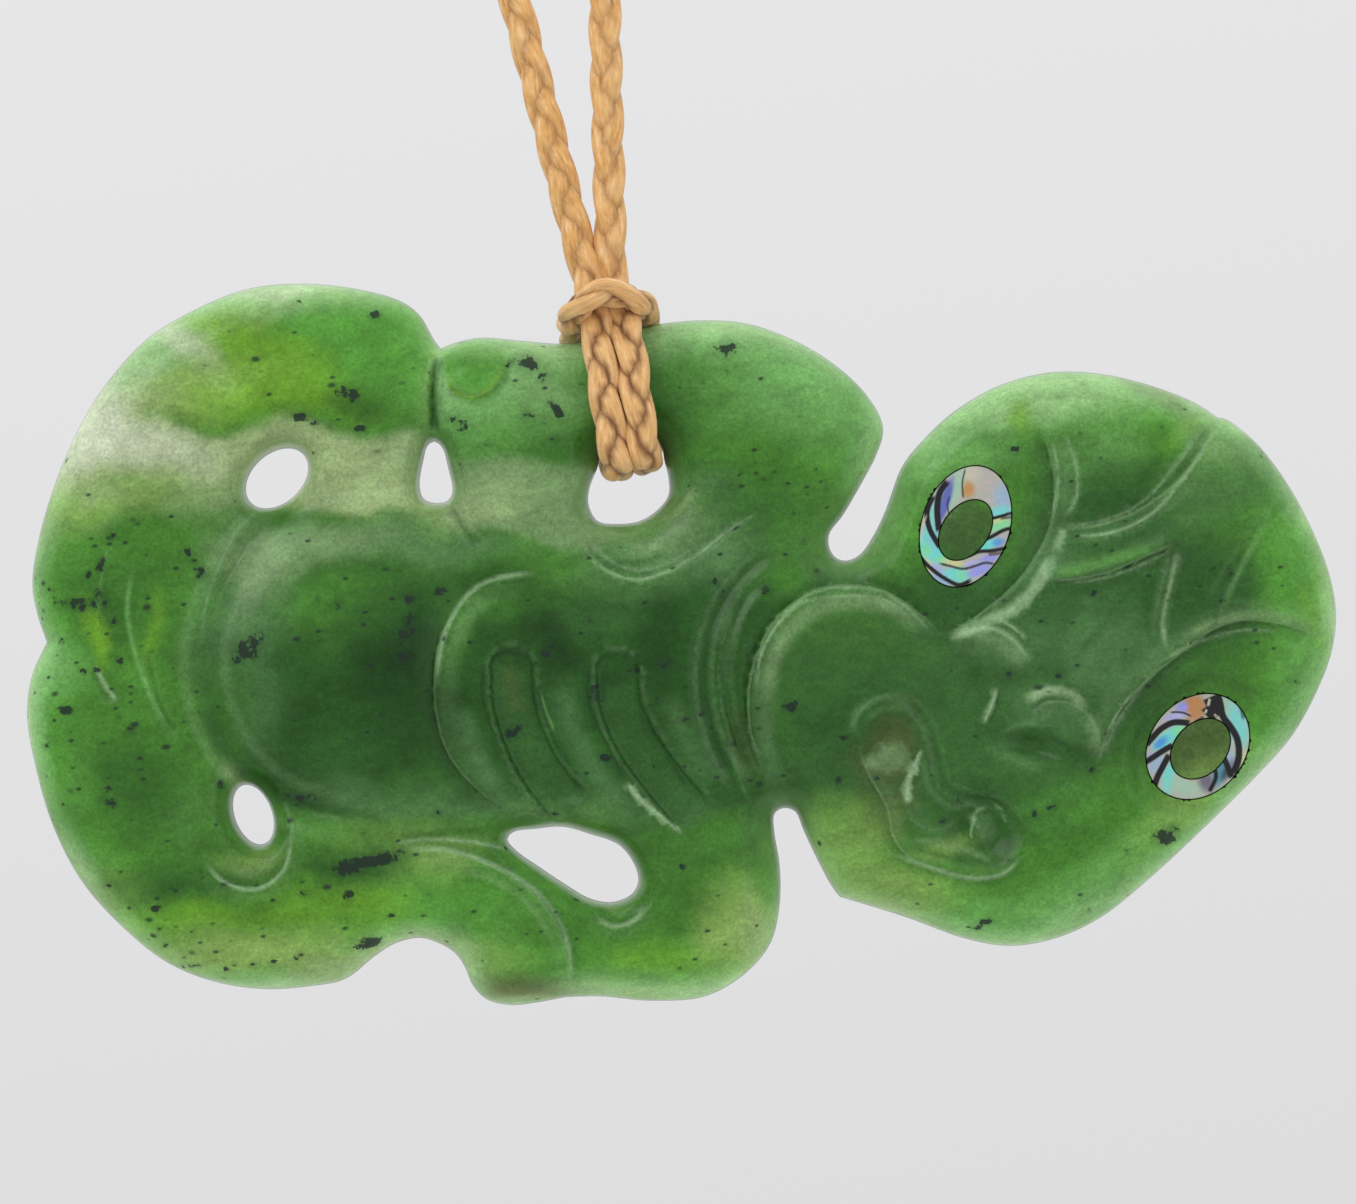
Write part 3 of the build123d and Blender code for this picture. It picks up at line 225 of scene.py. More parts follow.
# A patch is an oval. Columns: tone, across, down, half length, half width, strength, lean in degrees,
# and softness of the edge as a share. The last two are left out where the patch lies level and is soft.
Patch = namedtuple("Patch", "tone across down half_long half_short strength lean soft", defaults=(0, 0.9))
stone_patches = [Patch(*row) for row in (
    # Thigh at the top left, from the clear green to the yellow and pale parts
    ("bright", 372, 345, 84, 62, 0.8, -8, 0.6), ("lime", 250, 355, 74, 26, 0.8, -20, 0.8),
    ("olive", 195, 392, 74, 26, 0.9, 10, 0.7), ("olive", 238, 318, 60, 16, 0.6, 24, 0.8),
    ("lime", 330, 396, 46, 16, 0.6, -15, 0.8), ("deep", 362, 402, 34, 12, 0.7, -4, 0.8),
    ("deep", 300, 408, 22, 7, 0.4, 8), ("lime", 222, 330, 24, 9, 0.6, -10, 0.8),
    ("lime", 432, 390, 7, 40, 0.6), ("rim", 158, 352, 46, 22, 0.8, 42, 0.8),
    ("cream", 172, 338, 60, 15, 0.6, -38), ("rim", 290, 296, 90, 17, 0.7, -2),
    ("cream", 280, 290, 70, 9, 0.4, -2), ("olive", 170, 392, 50, 18, 0.6, 20),
    ("cream", 96, 420, 56, 34, 1.0, 62, 0.7), ("lime", 252, 394, 60, 24, 0.7),
    ("straw", 150, 402, 30, 18, 0.5),
    # Pale band over the knee
    ("cream", 130, 452, 66, 20, 0.7, -4), ("olive", 150, 496, 70, 16, 0.8, 4),
    ("sage", 205, 497, 40, 18, 0.6), ("sage", 430, 462, 36, 24, 0.5), ("straw", 98, 500, 30, 18, 0.7, -20),
    ("straw", 466, 504, 60, 22, 0.6, 6), ("sage", 650, 500, 26, 22, 0.7),
    # Shin at the left
    ("green", 130, 560, 90, 50, 0.4), ("deep", 104, 600, 26, 30, 0.45), ("lime", 100, 512, 20, 7, 0.5),
    ("olive", 62, 512, 26, 22, 0.6), ("lime", 96, 626, 9, 28, 0.75, 0, 0.7),
    ("lime", 156, 632, 9, 28, 0.55, 0, 0.8), ("leaf", 208, 600, 18, 40, 0.3, -8),
    ("bright", 150, 690, 26, 40, 0.3), ("leaf", 54, 662, 22, 26, 0.6), ("deep", 142, 786, 46, 34, 0.65),
    ("leaf", 56, 820, 20, 50, 0.4, -25), ("mist", 205, 812, 24, 30, 0.2),
    ("green", 64, 806, 30, 60, 0.7, -24),
    # Lower shin, from the soft dark patches to the yellow and pale parts
    ("deep", 165, 885, 50, 22, 0.7, 10), ("deep", 212, 888, 24, 14, 0.4), ("deep", 266, 903, 14, 8, 0.6),
    ("lime", 190, 922, 50, 14, 0.6, 4), ("lime", 306, 912, 60, 24, 0.5, 4), ("lime", 375, 905, 34, 20, 0.4),
    ("olive", 250, 956, 125, 22, 0.9, 0, 0.8), ("olive", 400, 848, 50, 26, 0.35),
    ("deep", 358, 862, 46, 17, 0.8, 6, 0.8), ("olive", 110, 905, 30, 30, 0.4, 40),
    ("straw", 346, 958, 40, 12, 0.6, 22), ("straw", 425, 938, 48, 10, 0.6),
    ("straw", 240, 778, 14, 8, 0.6, -40), ("olive", 252, 858, 26, 12, 0.6),
    # Belly
    ("green", 345, 588, 60, 16, 0.45, 6), ("green", 240, 700, 22, 50, 0.4),
    ("dark", 402, 650, 44, 40, 0.75), ("dark", 400, 708, 60, 40, 0.4), ("dark", 300, 796, 40, 12, 0.5, -16),
    ("mist", 248, 612, 34, 60, 0.8, -30), ("sage", 252, 556, 34, 26, 0.9, -30),
    ("green", 322, 600, 50, 34, 0.7, -20), ("mist", 262, 700, 24, 44, 0.45),
    ("mist", 470, 800, 50, 16, 0.5), ("olive", 560, 800, 44, 14, 0.4), ("moss", 664, 800, 44, 22, 0.5, 20),
    ("sage", 330, 546, 70, 16, 0.9, 4, 0.8), ("mist", 440, 548, 70, 16, 0.8, -4),
    ("mist", 380, 802, 60, 18, 0.8, 0, 0.8),
    # Chest and ribs
    ("green", 500, 604, 56, 16, 0.6, 0, 0.8), ("green", 450, 640, 16, 40, 0.7),
    ("dark", 556, 648, 26, 44, 0.7), ("dark", 662, 648, 24, 50, 0.6), ("dark", 604, 694, 20, 30, 0.6),
    ("moss", 554, 702, 18, 30, 0.8, -20), ("moss", 602, 610, 30, 20, 0.7),
    ("mist", 664, 552, 70, 20, 0.9, 14), ("sage", 676, 546, 50, 22, 0.5, 10),
    ("moss", 560, 792, 190, 20, 0.8), ("mist", 560, 806, 120, 12, 0.5),
    # Upper arm
    ("leaf", 500, 396, 60, 44, 0.8), ("rim", 546, 390, 40, 34, 0.4), ("rim", 452, 366, 20, 34, 0.8, 0, 0.8),
    ("bright", 479, 369, 34, 26, 1.0, -18, 0.2), ("green", 474, 360, 22, 12, 0.45, -18),
    ("bright", 520, 430, 60, 20, 0.4), ("rim", 560, 346, 60, 16, 0.7), ("rim", 700, 340, 70, 18, 0.7),
    ("leaf", 740, 386, 60, 34, 0.5, 20), ("deep", 552, 448, 30, 26, 0.4), ("green", 690, 420, 40, 60, 0.6),
    ("deep", 668, 430, 24, 60, 0.5), ("leaf", 820, 395, 56, 40, 0.8, -34),
    ("leaf", 750, 356, 60, 16, 0.7, -8), ("mist", 706, 494, 26, 22, 0.7, 20),
    ("moss", 780, 520, 60, 36, 0.8, -10), ("mist", 740, 556, 44, 20, 0.7, 24),
    ("green", 822, 520, 40, 60, 0.9, -56, 0.8), ("moss", 836, 572, 34, 26, 0.8),
    ("green", 886, 520, 22, 70, 0.5, -24), ("moss", 784, 800, 30, 40, 0.9, 0, 0.8),
    ("green", 770, 850, 30, 50, 0.8, 0, 0.8), ("deep", 768, 800, 34, 34, 0.6),
    ("deep", 764, 650, 22, 84, 0.5), ("green", 860, 400, 24, 26, 0.5), ("moss", 690, 852, 90, 26, 0.35),
    # Lower arm and hand
    ("olive", 452, 852, 30, 12, 0.6), ("green", 620, 846, 180, 30, 0.3), ("bright", 500, 900, 70, 36, 0.5),
    ("olive", 490, 950, 34, 18, 0.5), ("brown", 525, 982, 54, 20, 0.9, -4, 0.8),
    ("umber", 522, 988, 26, 9, 0.45), ("straw", 512, 1000, 40, 5, 0.5, 4), ("olive", 600, 1000, 50, 6, 0.5),
    ("lime", 668, 962, 50, 20, 0.5), ("olive", 736, 930, 34, 44, 0.9, 0, 0.8),
    ("straw", 752, 930, 14, 34, 0.5),
    # Head: brow and crown
    ("leaf", 950, 450, 34, 50, 0.6, -36), ("leaf", 1050, 408, 70, 18, 0.6),
    ("rim", 1050, 398, 90, 20, 0.75), ("leaf", 1104, 446, 34, 22, 0.4), ("leaf", 1000, 446, 30, 20, 0.4),
    ("moss", 1256, 480, 30, 44, 0.6, -40), ("green", 1306, 710, 26, 24, 0.6),
    ("lime", 1030, 412, 10, 16, 0.7, 10, 0.7), ("brown", 1160, 400, 44, 8, 0.5, -22),
    ("lime", 1190, 428, 22, 7, 0.4, 40), ("mist", 1205, 488, 34, 30, 0.5),
    ("sage", 1222, 446, 40, 16, 0.6, -38), ("bright", 1292, 590, 30, 70, 0.7, 6, 0.8),
    ("leaf", 1300, 690, 24, 50, 0.5, -16), ("lime", 1318, 620, 10, 40, 0.4),
    # Head: sockets and the middle of the face
    ("deep", 1100, 500, 36, 22, 0.5, 20), ("deep", 1212, 600, 40, 50, 0.6, 20),
    ("deep", 955, 605, 50, 20, 0.6, -20), ("mist", 1100, 650, 50, 34, 0.7),
    ("mist", 1000, 640, 40, 24, 0.5), ("mist", 1052, 556, 26, 26, 0.7), ("mist", 1050, 706, 34, 22, 0.7),
    ("deep", 1136, 724, 30, 40, 0.6, -20), ("deep", 1052, 752, 34, 12, 0.6, -10),
    ("moss", 964, 531, 34, 28, 1.0, 0, 0.2), ("brown", 964, 531, 34, 28, 0.3, 0, 0.2),
    ("moss", 1199, 748, 34, 32, 1.0, 0, 0.2), ("brown", 1199, 748, 34, 32, 0.6, 0, 0.2),
    ("deep", 1060, 696, 30, 26, 0.4), ("deep", 1162, 604, 26, 30, 0.4),
    # Cheek, mouth and jaw, with painted shade in the mouth's two pits and painted light on the knobs in them
    ("deep", 836, 720, 56, 70, 0.6), ("green", 850, 640, 54, 24, 0.4),
    ("deep", 892, 744, 36, 40, 0.6, 0, 0.6), ("brown", 892, 746, 30, 34, 0.75, 0, 0.7),
    ("sage", 886, 750, 17, 14, 0.85, 0, 0.4), ("brown", 890, 806, 20, 26, 0.6, -20),
    ("deep", 986, 832, 36, 32, 0.75, 0, 0.5), ("mist", 983, 829, 13, 17, 0.9, 14, 0.5),
    ("olive", 944, 846, 26, 8, 0.5, 10), ("deep", 1000, 812, 60, 26, 0.4), ("olive", 848, 846, 40, 34, 0.6),
    ("olive", 900, 888, 50, 20, 0.7, -14), ("straw", 876, 908, 40, 10, 0.6, -16),
    ("leaf", 1030, 920, 90, 18, 0.4, 6), ("leaf", 1110, 884, 60, 26, 0.4, 35),
    ("olive", 1190, 800, 60, 18, 0.6, 45), ("bright", 1060, 808, 44, 24, 0.35),
    ("leaf", 1070, 900, 50, 24, 0.35),
)]

# A stroke follows a line, and fades to its sides. Columns: tone, half width, strength, the line and,
# where it isn't quite soft, its softness.
Stroke = namedtuple("Stroke", "tone half_width strength route soft", defaults=(1.0,))
# Most of the stone's strokes are painted light and shade: pale crests and bands where light falls on the
# carved edges and swellings, and dark lines and bands where shade falls beside them; the rest are the stone's
# colour
stone_strokes_with_light_and_shade = [Stroke(*row) for row in (
    # Slots between the ribs, and the ribs beside them
    ("moss", 24, 0.8, ((512, 660), (514, 700), (530, 740), (552, 775), (590, 815)), 0.5),
    ("brown", 16, 0.4, ((510, 660), (512, 690), (522, 715))),
    ("moss", 22, 0.7, ((618, 676), (622, 710), (640, 750), (668, 785), (705, 825)), 0.5),
    ("mist", 16, 0.55, ((462, 700), (474, 740), (500, 790))),
    ("mist", 20, 0.55, ((562, 680), (572, 725), (600, 775), (640, 815))),
    ("mist", 20, 0.5, ((668, 690), (684, 735), (716, 785))),
    ("dark", 3, 0.6, ((532, 794), (502, 746), (488, 714), (483, 684), (492, 660), (508, 652), (526, 658),
        (535, 672))),
    ("dark", 3, 0.7, ((530, 664), (536, 684), (542, 708), (561, 752), (592, 798))),
    ("leaf", 2, 0.5, ((541, 690), (547, 710), (556, 732))),
    ("dark", 3, 0.6, ((634, 668), (622, 656), (606, 656), (592, 668), (588, 688), (592, 710), (606, 740),
        (630, 786))),
    ("dark", 3, 0.5, ((632, 664), (644, 700), (665, 749), (694, 800))),
    ("pale", 3, 0.9, ((626, 780), (640, 798), (660, 814), (684, 833)), 0.6),
    # Light and shade along the belly
    ("sage", 26, 0.35, ((236, 640), (250, 598), (290, 560), (350, 538), (420, 532))),
    ("pale", 3, 0.35, ((204, 650), (208, 604), (224, 560), (244, 526), (270, 504))),
    ("pale", 4, 0.3, ((280, 522), (320, 504), (370, 494), (420, 494))),
    ("deep", 12, 0.7, ((204, 690), (220, 740), (250, 776), (290, 800), (340, 812))),
    ("dark", 7, 0.5, ((285, 796), (330, 808), (385, 816))),
    # The rib edge and the scoop under the cord
    ("pale", 4, 0.75, ((438, 690), (441, 655), (448, 628), (462, 603), (484, 583), (512, 576), (540, 573))),
    ("leaf", 12, 0.3, ((458, 650), (470, 615), (490, 596))),
    ("pale", 3, 0.7, ((580, 543), (600, 566), (635, 580), (665, 572), (700, 552), (730, 528), (752, 512))),
    ("pale", 3, 0.5, ((584, 534), (604, 556), (636, 570), (666, 564), (700, 544))),
    ("sage", 9, 0.6, ((622, 546), (655, 546), (684, 526), (706, 500))),
    ("straw", 6, 0.5, ((660, 524), (682, 508), (698, 486))),
    ("moss", 5, 0.6, ((610, 562), (640, 562), (668, 552))),
    # The collar
    ("deep", 8, 0.8, ((745, 802), (714, 740), (703, 688), (707, 645), (728, 600), (752, 572)), 0.9),
    ("dark", 3, 0.5, ((730, 778), (712, 735), (702, 690), (706, 650), (720, 614))),
    ("mist", 6, 0.45, ((727, 700), (728, 650), (744, 606), (768, 570))),
    ("deep", 7, 0.6, ((742, 700), (742, 655), (752, 620), (772, 590))),
    ("brown", 16, 0.4, ((738, 700), (740, 740), (756, 780))),
    ("mist", 4, 0.4, ((730, 745), (740, 780), (752, 805))),
    # The cheek
    ("sage", 13, 0.7, ((768, 720), (772, 665), (790, 630), (822, 608), (858, 602), (895, 610), (926, 636))),
    ("pale", 3, 0.6, ((756, 706), (760, 656), (782, 618), (812, 592), (845, 587), (882, 592), (910, 612),
        (938, 642))),
    ("pale", 3, 0.45, ((772, 632), (800, 604), (845, 596), (884, 600), (912, 620))),
    ("deep", 4, 0.6, ((750, 700), (753, 652), (776, 610), (806, 586))),
    ("mist", 14, 0.5, ((768, 700), (770, 760), (782, 790))),
    # Nose and nostrils
    ("pale", 8, 0.75, ((1052, 552), (1040, 578), (1016, 606), (985, 622), (948, 638)), 0.6),
    ("pale", 6, 0.6, ((1062, 528), (1054, 552)), 0.8),
    ("pale", 5, 0.7, ((946, 640), (975, 628), (1002, 632), (1020, 650), (1032, 664))),
    ("sage", 12, 0.5, ((966, 640), (992, 640), (1012, 654), (1024, 668))),
    ("pale", 3, 0.6, ((984, 618), (1006, 624), (1026, 640))),
    ("deep", 14, 0.5, ((950, 650), (972, 670), (984, 690))),
    ("pale", 8, 0.8, ((1020, 702), (1044, 691), (1068, 694), (1086, 710)), 0.9),
    ("sage", 12, 0.4, ((1084, 712), (1094, 732), (1096, 752))),
    ("pale", 3, 0.6, ((1096, 762), (1104, 738), (1116, 712), (1132, 690))),
    ("deep", 10, 0.8, ((1004, 742), (1036, 732), (1064, 744), (1092, 762))),
    ("mist", 4, 0.6, ((996, 736), (1016, 724), (1044, 722))),
    ("mist", 9, 0.5, ((980, 748), (1010, 758), (1042, 772))),
    ("pale", 3, 0.8, ((995, 686), (990, 704), (981, 724)), 0.8),
    ("dark", 2, 0.6, ((998, 690), (993, 706), (985, 722)), 0.8),
    # Mouth
    ("moss", 9, 0.8, ((862, 760), (860, 728), (880, 708), (906, 712), (920, 740), (908, 778), (884, 788),
        (864, 764))),
    ("mist", 6, 0.8, ((850, 736), (856, 712), (876, 699), (900, 700), (916, 708)), 0.8),
    ("deep", 4, 0.6, ((866, 752), (864, 730), (880, 714), (902, 716), (912, 734))),
    ("mist", 5, 0.6, ((918, 752), (930, 790), (950, 806), (976, 800)), 0.8),
    ("pale", 3, 0.9, ((921, 748), (912, 768), (906, 786), (907, 804)), 0.6),
    ("pale", 2, 0.6, ((917, 760), (915, 776)), 0.8),
    ("pale", 2, 0.7, ((975, 816), (970, 828), (970, 838)), 0.8),
    ("pale", 2, 0.7, ((993, 802), (1000, 810), (1004, 822)), 0.8),
    ("mist", 3, 0.6, ((904, 804), (914, 822), (934, 829), (958, 820))),
    ("deep", 8, 0.7, ((962, 836), (972, 812), (998, 812), (1010, 836), (998, 858), (974, 856), (962, 838))),
    ("pale", 3, 0.5, ((970, 824), (974, 812), (984, 806))),
    ("sage", 6, 0.6, ((904, 838), (936, 842), (966, 850), (996, 862))),
    ("pale", 4, 0.65, ((884, 850), (922, 864), (970, 877), (1002, 872), (1022, 852))),
    ("deep", 5, 0.5, ((900, 846), (940, 854), (980, 864))),
    # Brows, sockets and crown
    ("pale", 3, 0.65, ((1052, 526), (1096, 522), (1138, 504), (1176, 462), (1208, 420))),
    ("pale", 3, 0.65, ((1062, 536), (1104, 534), (1146, 516), (1184, 474), (1216, 422))),
    ("deep", 12, 0.5, ((1085, 508), (1130, 488), (1165, 450))),
    ("bright", 9, 0.6, ((1042, 572), (1064, 572), (1096, 564), (1136, 552), (1164, 540))),
    ("pale", 3, 0.6, ((1062, 584), (1100, 578), (1140, 564), (1174, 546))),
    ("deep", 7, 0.6, ((1060, 592), (1100, 588), (1140, 572))),
    ("pale", 4, 0.7, ((1176, 544), (1168, 580), (1160, 622), (1164, 652))),
    ("mist", 8, 0.5, ((1166, 560), (1158, 590), (1154, 625))),
    ("deep", 7, 0.5, ((1146, 570), (1142, 610), (1150, 640))),
    ("sage", 9, 0.65, ((1168, 648), (1196, 630), (1232, 618), (1272, 617), (1320, 636))),
    ("pale", 3, 0.5, ((1152, 664), (1178, 650), (1206, 638), (1240, 630), (1280, 632))),
    ("pale", 3, 0.5, ((1158, 664), (1134, 694), (1112, 728), (1100, 756))),
    ("pale", 3, 0.5, ((1050, 440), (1056, 480), (1050, 522))),
    ("pale", 3, 0.5, ((1062, 432), (1074, 466), (1074, 498), (1060, 522))),
    ("mist", 7, 0.4, ((1056, 446), (1064, 480), (1060, 510))),
    ("dark", 7, 0.35, ((1205, 640), (1225, 590), (1250, 550))),
    ("leaf", 5, 0.35, ((1212, 624), (1236, 572), (1274, 500))),
    ("mist", 16, 0.4, ((1066, 690), (1100, 650), (1140, 600))),
    ("moss", 6, 0.5, ((1072, 660), (1100, 626), (1128, 590))),
    # Legs, hands and knees
    ("pale", 4, 0.8, ((98, 664), (108, 686), (122, 702))),
    ("leaf", 4, 0.6, ((138, 560), (130, 608), (140, 660), (158, 704), (178, 740))),
    ("leaf", 3, 0.35, ((112, 540), (104, 580), (100, 620))),
    ("sage", 10, 0.4, ((226, 862), (254, 872), (280, 852))),
    ("pale", 3, 0.65, ((204, 856), (226, 880), (258, 888), (286, 868), (294, 828))),
    ("pale", 3, 0.7, ((392, 842), (430, 838), (480, 842), (520, 852))),
    ("pale", 4, 0.7, ((400, 850), (446, 848), (500, 866), (545, 898), (568, 940), (572, 992))),
    ("sage", 4, 0.4, ((452, 866), (496, 880), (534, 908), (556, 946))),
    ("pale", 4, 0.6, ((596, 914), (612, 924), (632, 920), (648, 902))),
    ("sage", 4, 0.5, ((604, 904), (620, 912), (638, 902))),
    ("mist", 4, 0.5, ((444, 352), (442, 400), (440, 428))),
    ("moss", 3, 0.7, ((436, 352), (434, 400), (438, 436))),
    ("lime", 4, 0.9, ((446, 374), (454, 390), (470, 398), (490, 390), (508, 366)), 0.8),
    ("moss", 3, 0.5, ((450, 500), (462, 524), (478, 548))),
)]

# The shell's colours, in the same way and the same pixels
shell_patches = [Patch(*row) for row in (
    # Upper ring
    ("cream", 968, 476, 12, 12, 0.6, 0, 0.8), ("blush", 990, 482, 16, 14, 0.6, 0, 0.8),
    ("amber", 967, 490, 7, 8, 0.9, 0, 0.6), ("sky", 1002, 498, 9, 13, 0.8, 0, 0.7),
    ("aqua", 999, 513, 12, 6, 0.9, 10, 0.6), ("sage", 954, 490, 7, 22, 0.9, -20, 0.5),
    ("indigo", 944, 502, 5, 24, 1.0, -18, 0.4), ("aqua", 930, 520, 6, 20, 0.7, -10, 0.5),
    ("aqua", 932, 548, 18, 18, 1.0, 0, 0.4), ("sky", 935, 540, 8, 7, 0.6, 0, 0.7),
    ("jade", 924, 551, 6, 7, 0.8, 0, 0.7), ("jade", 940, 560, 7, 4, 0.8, 0, 0.7),
    ("straw", 952, 563, 10, 4, 0.9, -10, 0.6), ("straw", 924, 566, 9, 6, 0.9, -45, 0.6),
    ("sky", 938, 580, 12, 5, 0.9, -20, 0.6), ("lilac", 938, 571, 10, 4, 0.9, -35, 0.5),
    ("aqua", 955, 575, 14, 7, 1.0, -10, 0.5), ("jade", 960, 575, 6, 6, 0.6, 0, 0.7),
    ("lilac", 972, 565, 9, 4, 0.9, 10, 0.5), ("violet", 988, 559, 9, 4, 0.9, 10, 0.5),
    ("violet", 978, 571, 12, 5, 0.9, 20, 0.5), ("aqua", 985, 546, 14, 5, 1.0, 18, 0.5),
    ("azure", 997, 543, 6, 4, 0.8, 20, 0.7), ("jade", 998, 526, 14, 6, 0.9, 10, 0.5),
    ("straw", 995, 521, 8, 3, 0.8, 8, 0.6),
    # Lower ring
    ("copper", 1192, 708, 12, 14, 1.0, 0, 0.4), ("amber", 1195, 704, 4, 7, 0.6, -25, 0.7),
    ("violet", 1180, 707, 6, 5, 0.9, 30, 0.5), ("lilac", 1174, 716, 12, 4, 0.9, 10, 0.5),
    ("straw", 1161, 729, 8, 3, 0.9, 45, 0.5), ("aqua", 1165, 738, 17, 7, 1.0, 38, 0.4),
    ("jade", 1177, 730, 7, 4, 0.9, 30, 0.6), ("azure", 1159, 742, 8, 4, 0.9, 40, 0.6),
    ("lilac", 1150, 756, 5, 5, 0.7, 0, 0.7), ("sky", 1156, 764, 10, 6, 0.8, 45, 0.6),
    ("aqua", 1167, 778, 6, 16, 1.0, -8, 0.5), ("sage", 1183, 785, 16, 10, 0.8, -10, 0.7),
    ("amber", 1192, 777, 5, 3, 0.7, 20, 0.7), ("mauve", 1205, 781, 8, 11, 0.9, 20, 0.6),
    ("teal", 1219, 772, 7, 14, 1.0, -20, 0.5), ("ink", 1225, 772, 4, 8, 0.7, -25, 0.7),
    ("sky", 1229, 760, 5, 12, 0.7, 12, 0.6), ("mauve", 1232, 765, 4, 7, 0.7, 12, 0.7),
    ("sage", 1226, 706, 7, 12, 0.9, 10, 0.5), ("aqua", 1236, 725, 9, 22, 0.85, 12, 0.5),
    ("straw", 1241, 756, 4, 9, 0.7, 10, 0.7),
)]
shell_strokes = [Stroke(*row) for row in (
    # Upper ring: the dark layers between the bright ones
    ("ink", 1.2, 0.9, ((964, 468), (961, 484), (962, 500)), 0.6),
    ("ink", 1.2, 0.8, ((949, 496), (946, 504), (948, 516)), 0.6),
    ("ink", 4.0, 1.0, ((948, 480), (939, 492), (936, 508), (938, 534)), 0.4),
    ("ink", 3.4, 1.0, ((933, 494), (926, 512), (928, 528), (940, 550)), 0.4),
    ("ink", 2.6, 1.0, ((914, 549), (923, 562), (934, 572), (946, 580), (958, 585), (972, 579)), 0.4),
    ("ink", 1.7, 0.9, ((936, 563), (948, 566), (962, 569), (974, 566), (984, 563), (996, 565)), 0.5),
    ("ink", 2.4, 1.0, ((966, 557), (977, 552), (990, 551), (1006, 548)), 0.4),
    ("umber", 2.2, 0.8, ((986, 555), (1002, 553)), 0.6),
    ("ink", 2.4, 1.0, ((978, 542), (990, 537), (1001, 531), (1014, 527)), 0.4),
    ("ink", 2.0, 1.0, ((985, 520), (998, 517), (1014, 512)), 0.4),
    ("umber", 2.0, 0.8, ((998, 519), (1014, 517)), 0.6),
    ("cream", 1.2, 0.7, ((926, 514), (921, 530), (919, 545)), 0.8),
    # Lower ring
    ("ink", 9.0, 1.0, ((1208, 696), (1212, 708), (1204, 716)), 0.3),
    ("ink", 6.0, 1.0, ((1214, 694), (1217, 706), (1216, 716)), 0.3),
    ("cream", 1.6, 0.9, ((1208, 698), (1206, 706)), 0.6),
    ("cream", 1.4, 0.9, ((1205, 709), (1203, 713)), 0.6),
    ("cream", 1.4, 0.7, ((1212, 714), (1215, 716)), 0.6),
    ("ink", 4.2, 1.0, ((1218, 702), (1221, 716), (1229, 727), (1235, 738), (1237, 752), (1235, 764),
        (1229, 776)), 0.35),
    ("ink", 2.6, 0.7, ((1231, 696), (1238, 706), (1242, 720)), 0.6),
    ("ink", 3.6, 1.0, ((1217, 748), (1224, 762), (1230, 778)), 0.35),
    ("ink", 2.6, 1.0, ((1211, 762), (1214, 776), (1207, 792)), 0.4),
    ("ink", 3.8, 1.0, ((1168, 753), (1161, 766), (1155, 778), (1152, 788)), 0.35),
    ("ink", 3.6, 1.0, ((1140, 764), (1151, 757), (1160, 751), (1172, 744)), 0.35),
    ("ink", 3.8, 1.0, ((1143, 746), (1150, 738), (1160, 728), (1172, 722), (1190, 723)), 0.35),
    ("ink", 1.4, 0.9, ((1168, 712), (1180, 712), (1190, 716)), 0.5),
    ("ink", 1.6, 0.8, ((1192, 722), (1202, 716)), 0.6),
)]

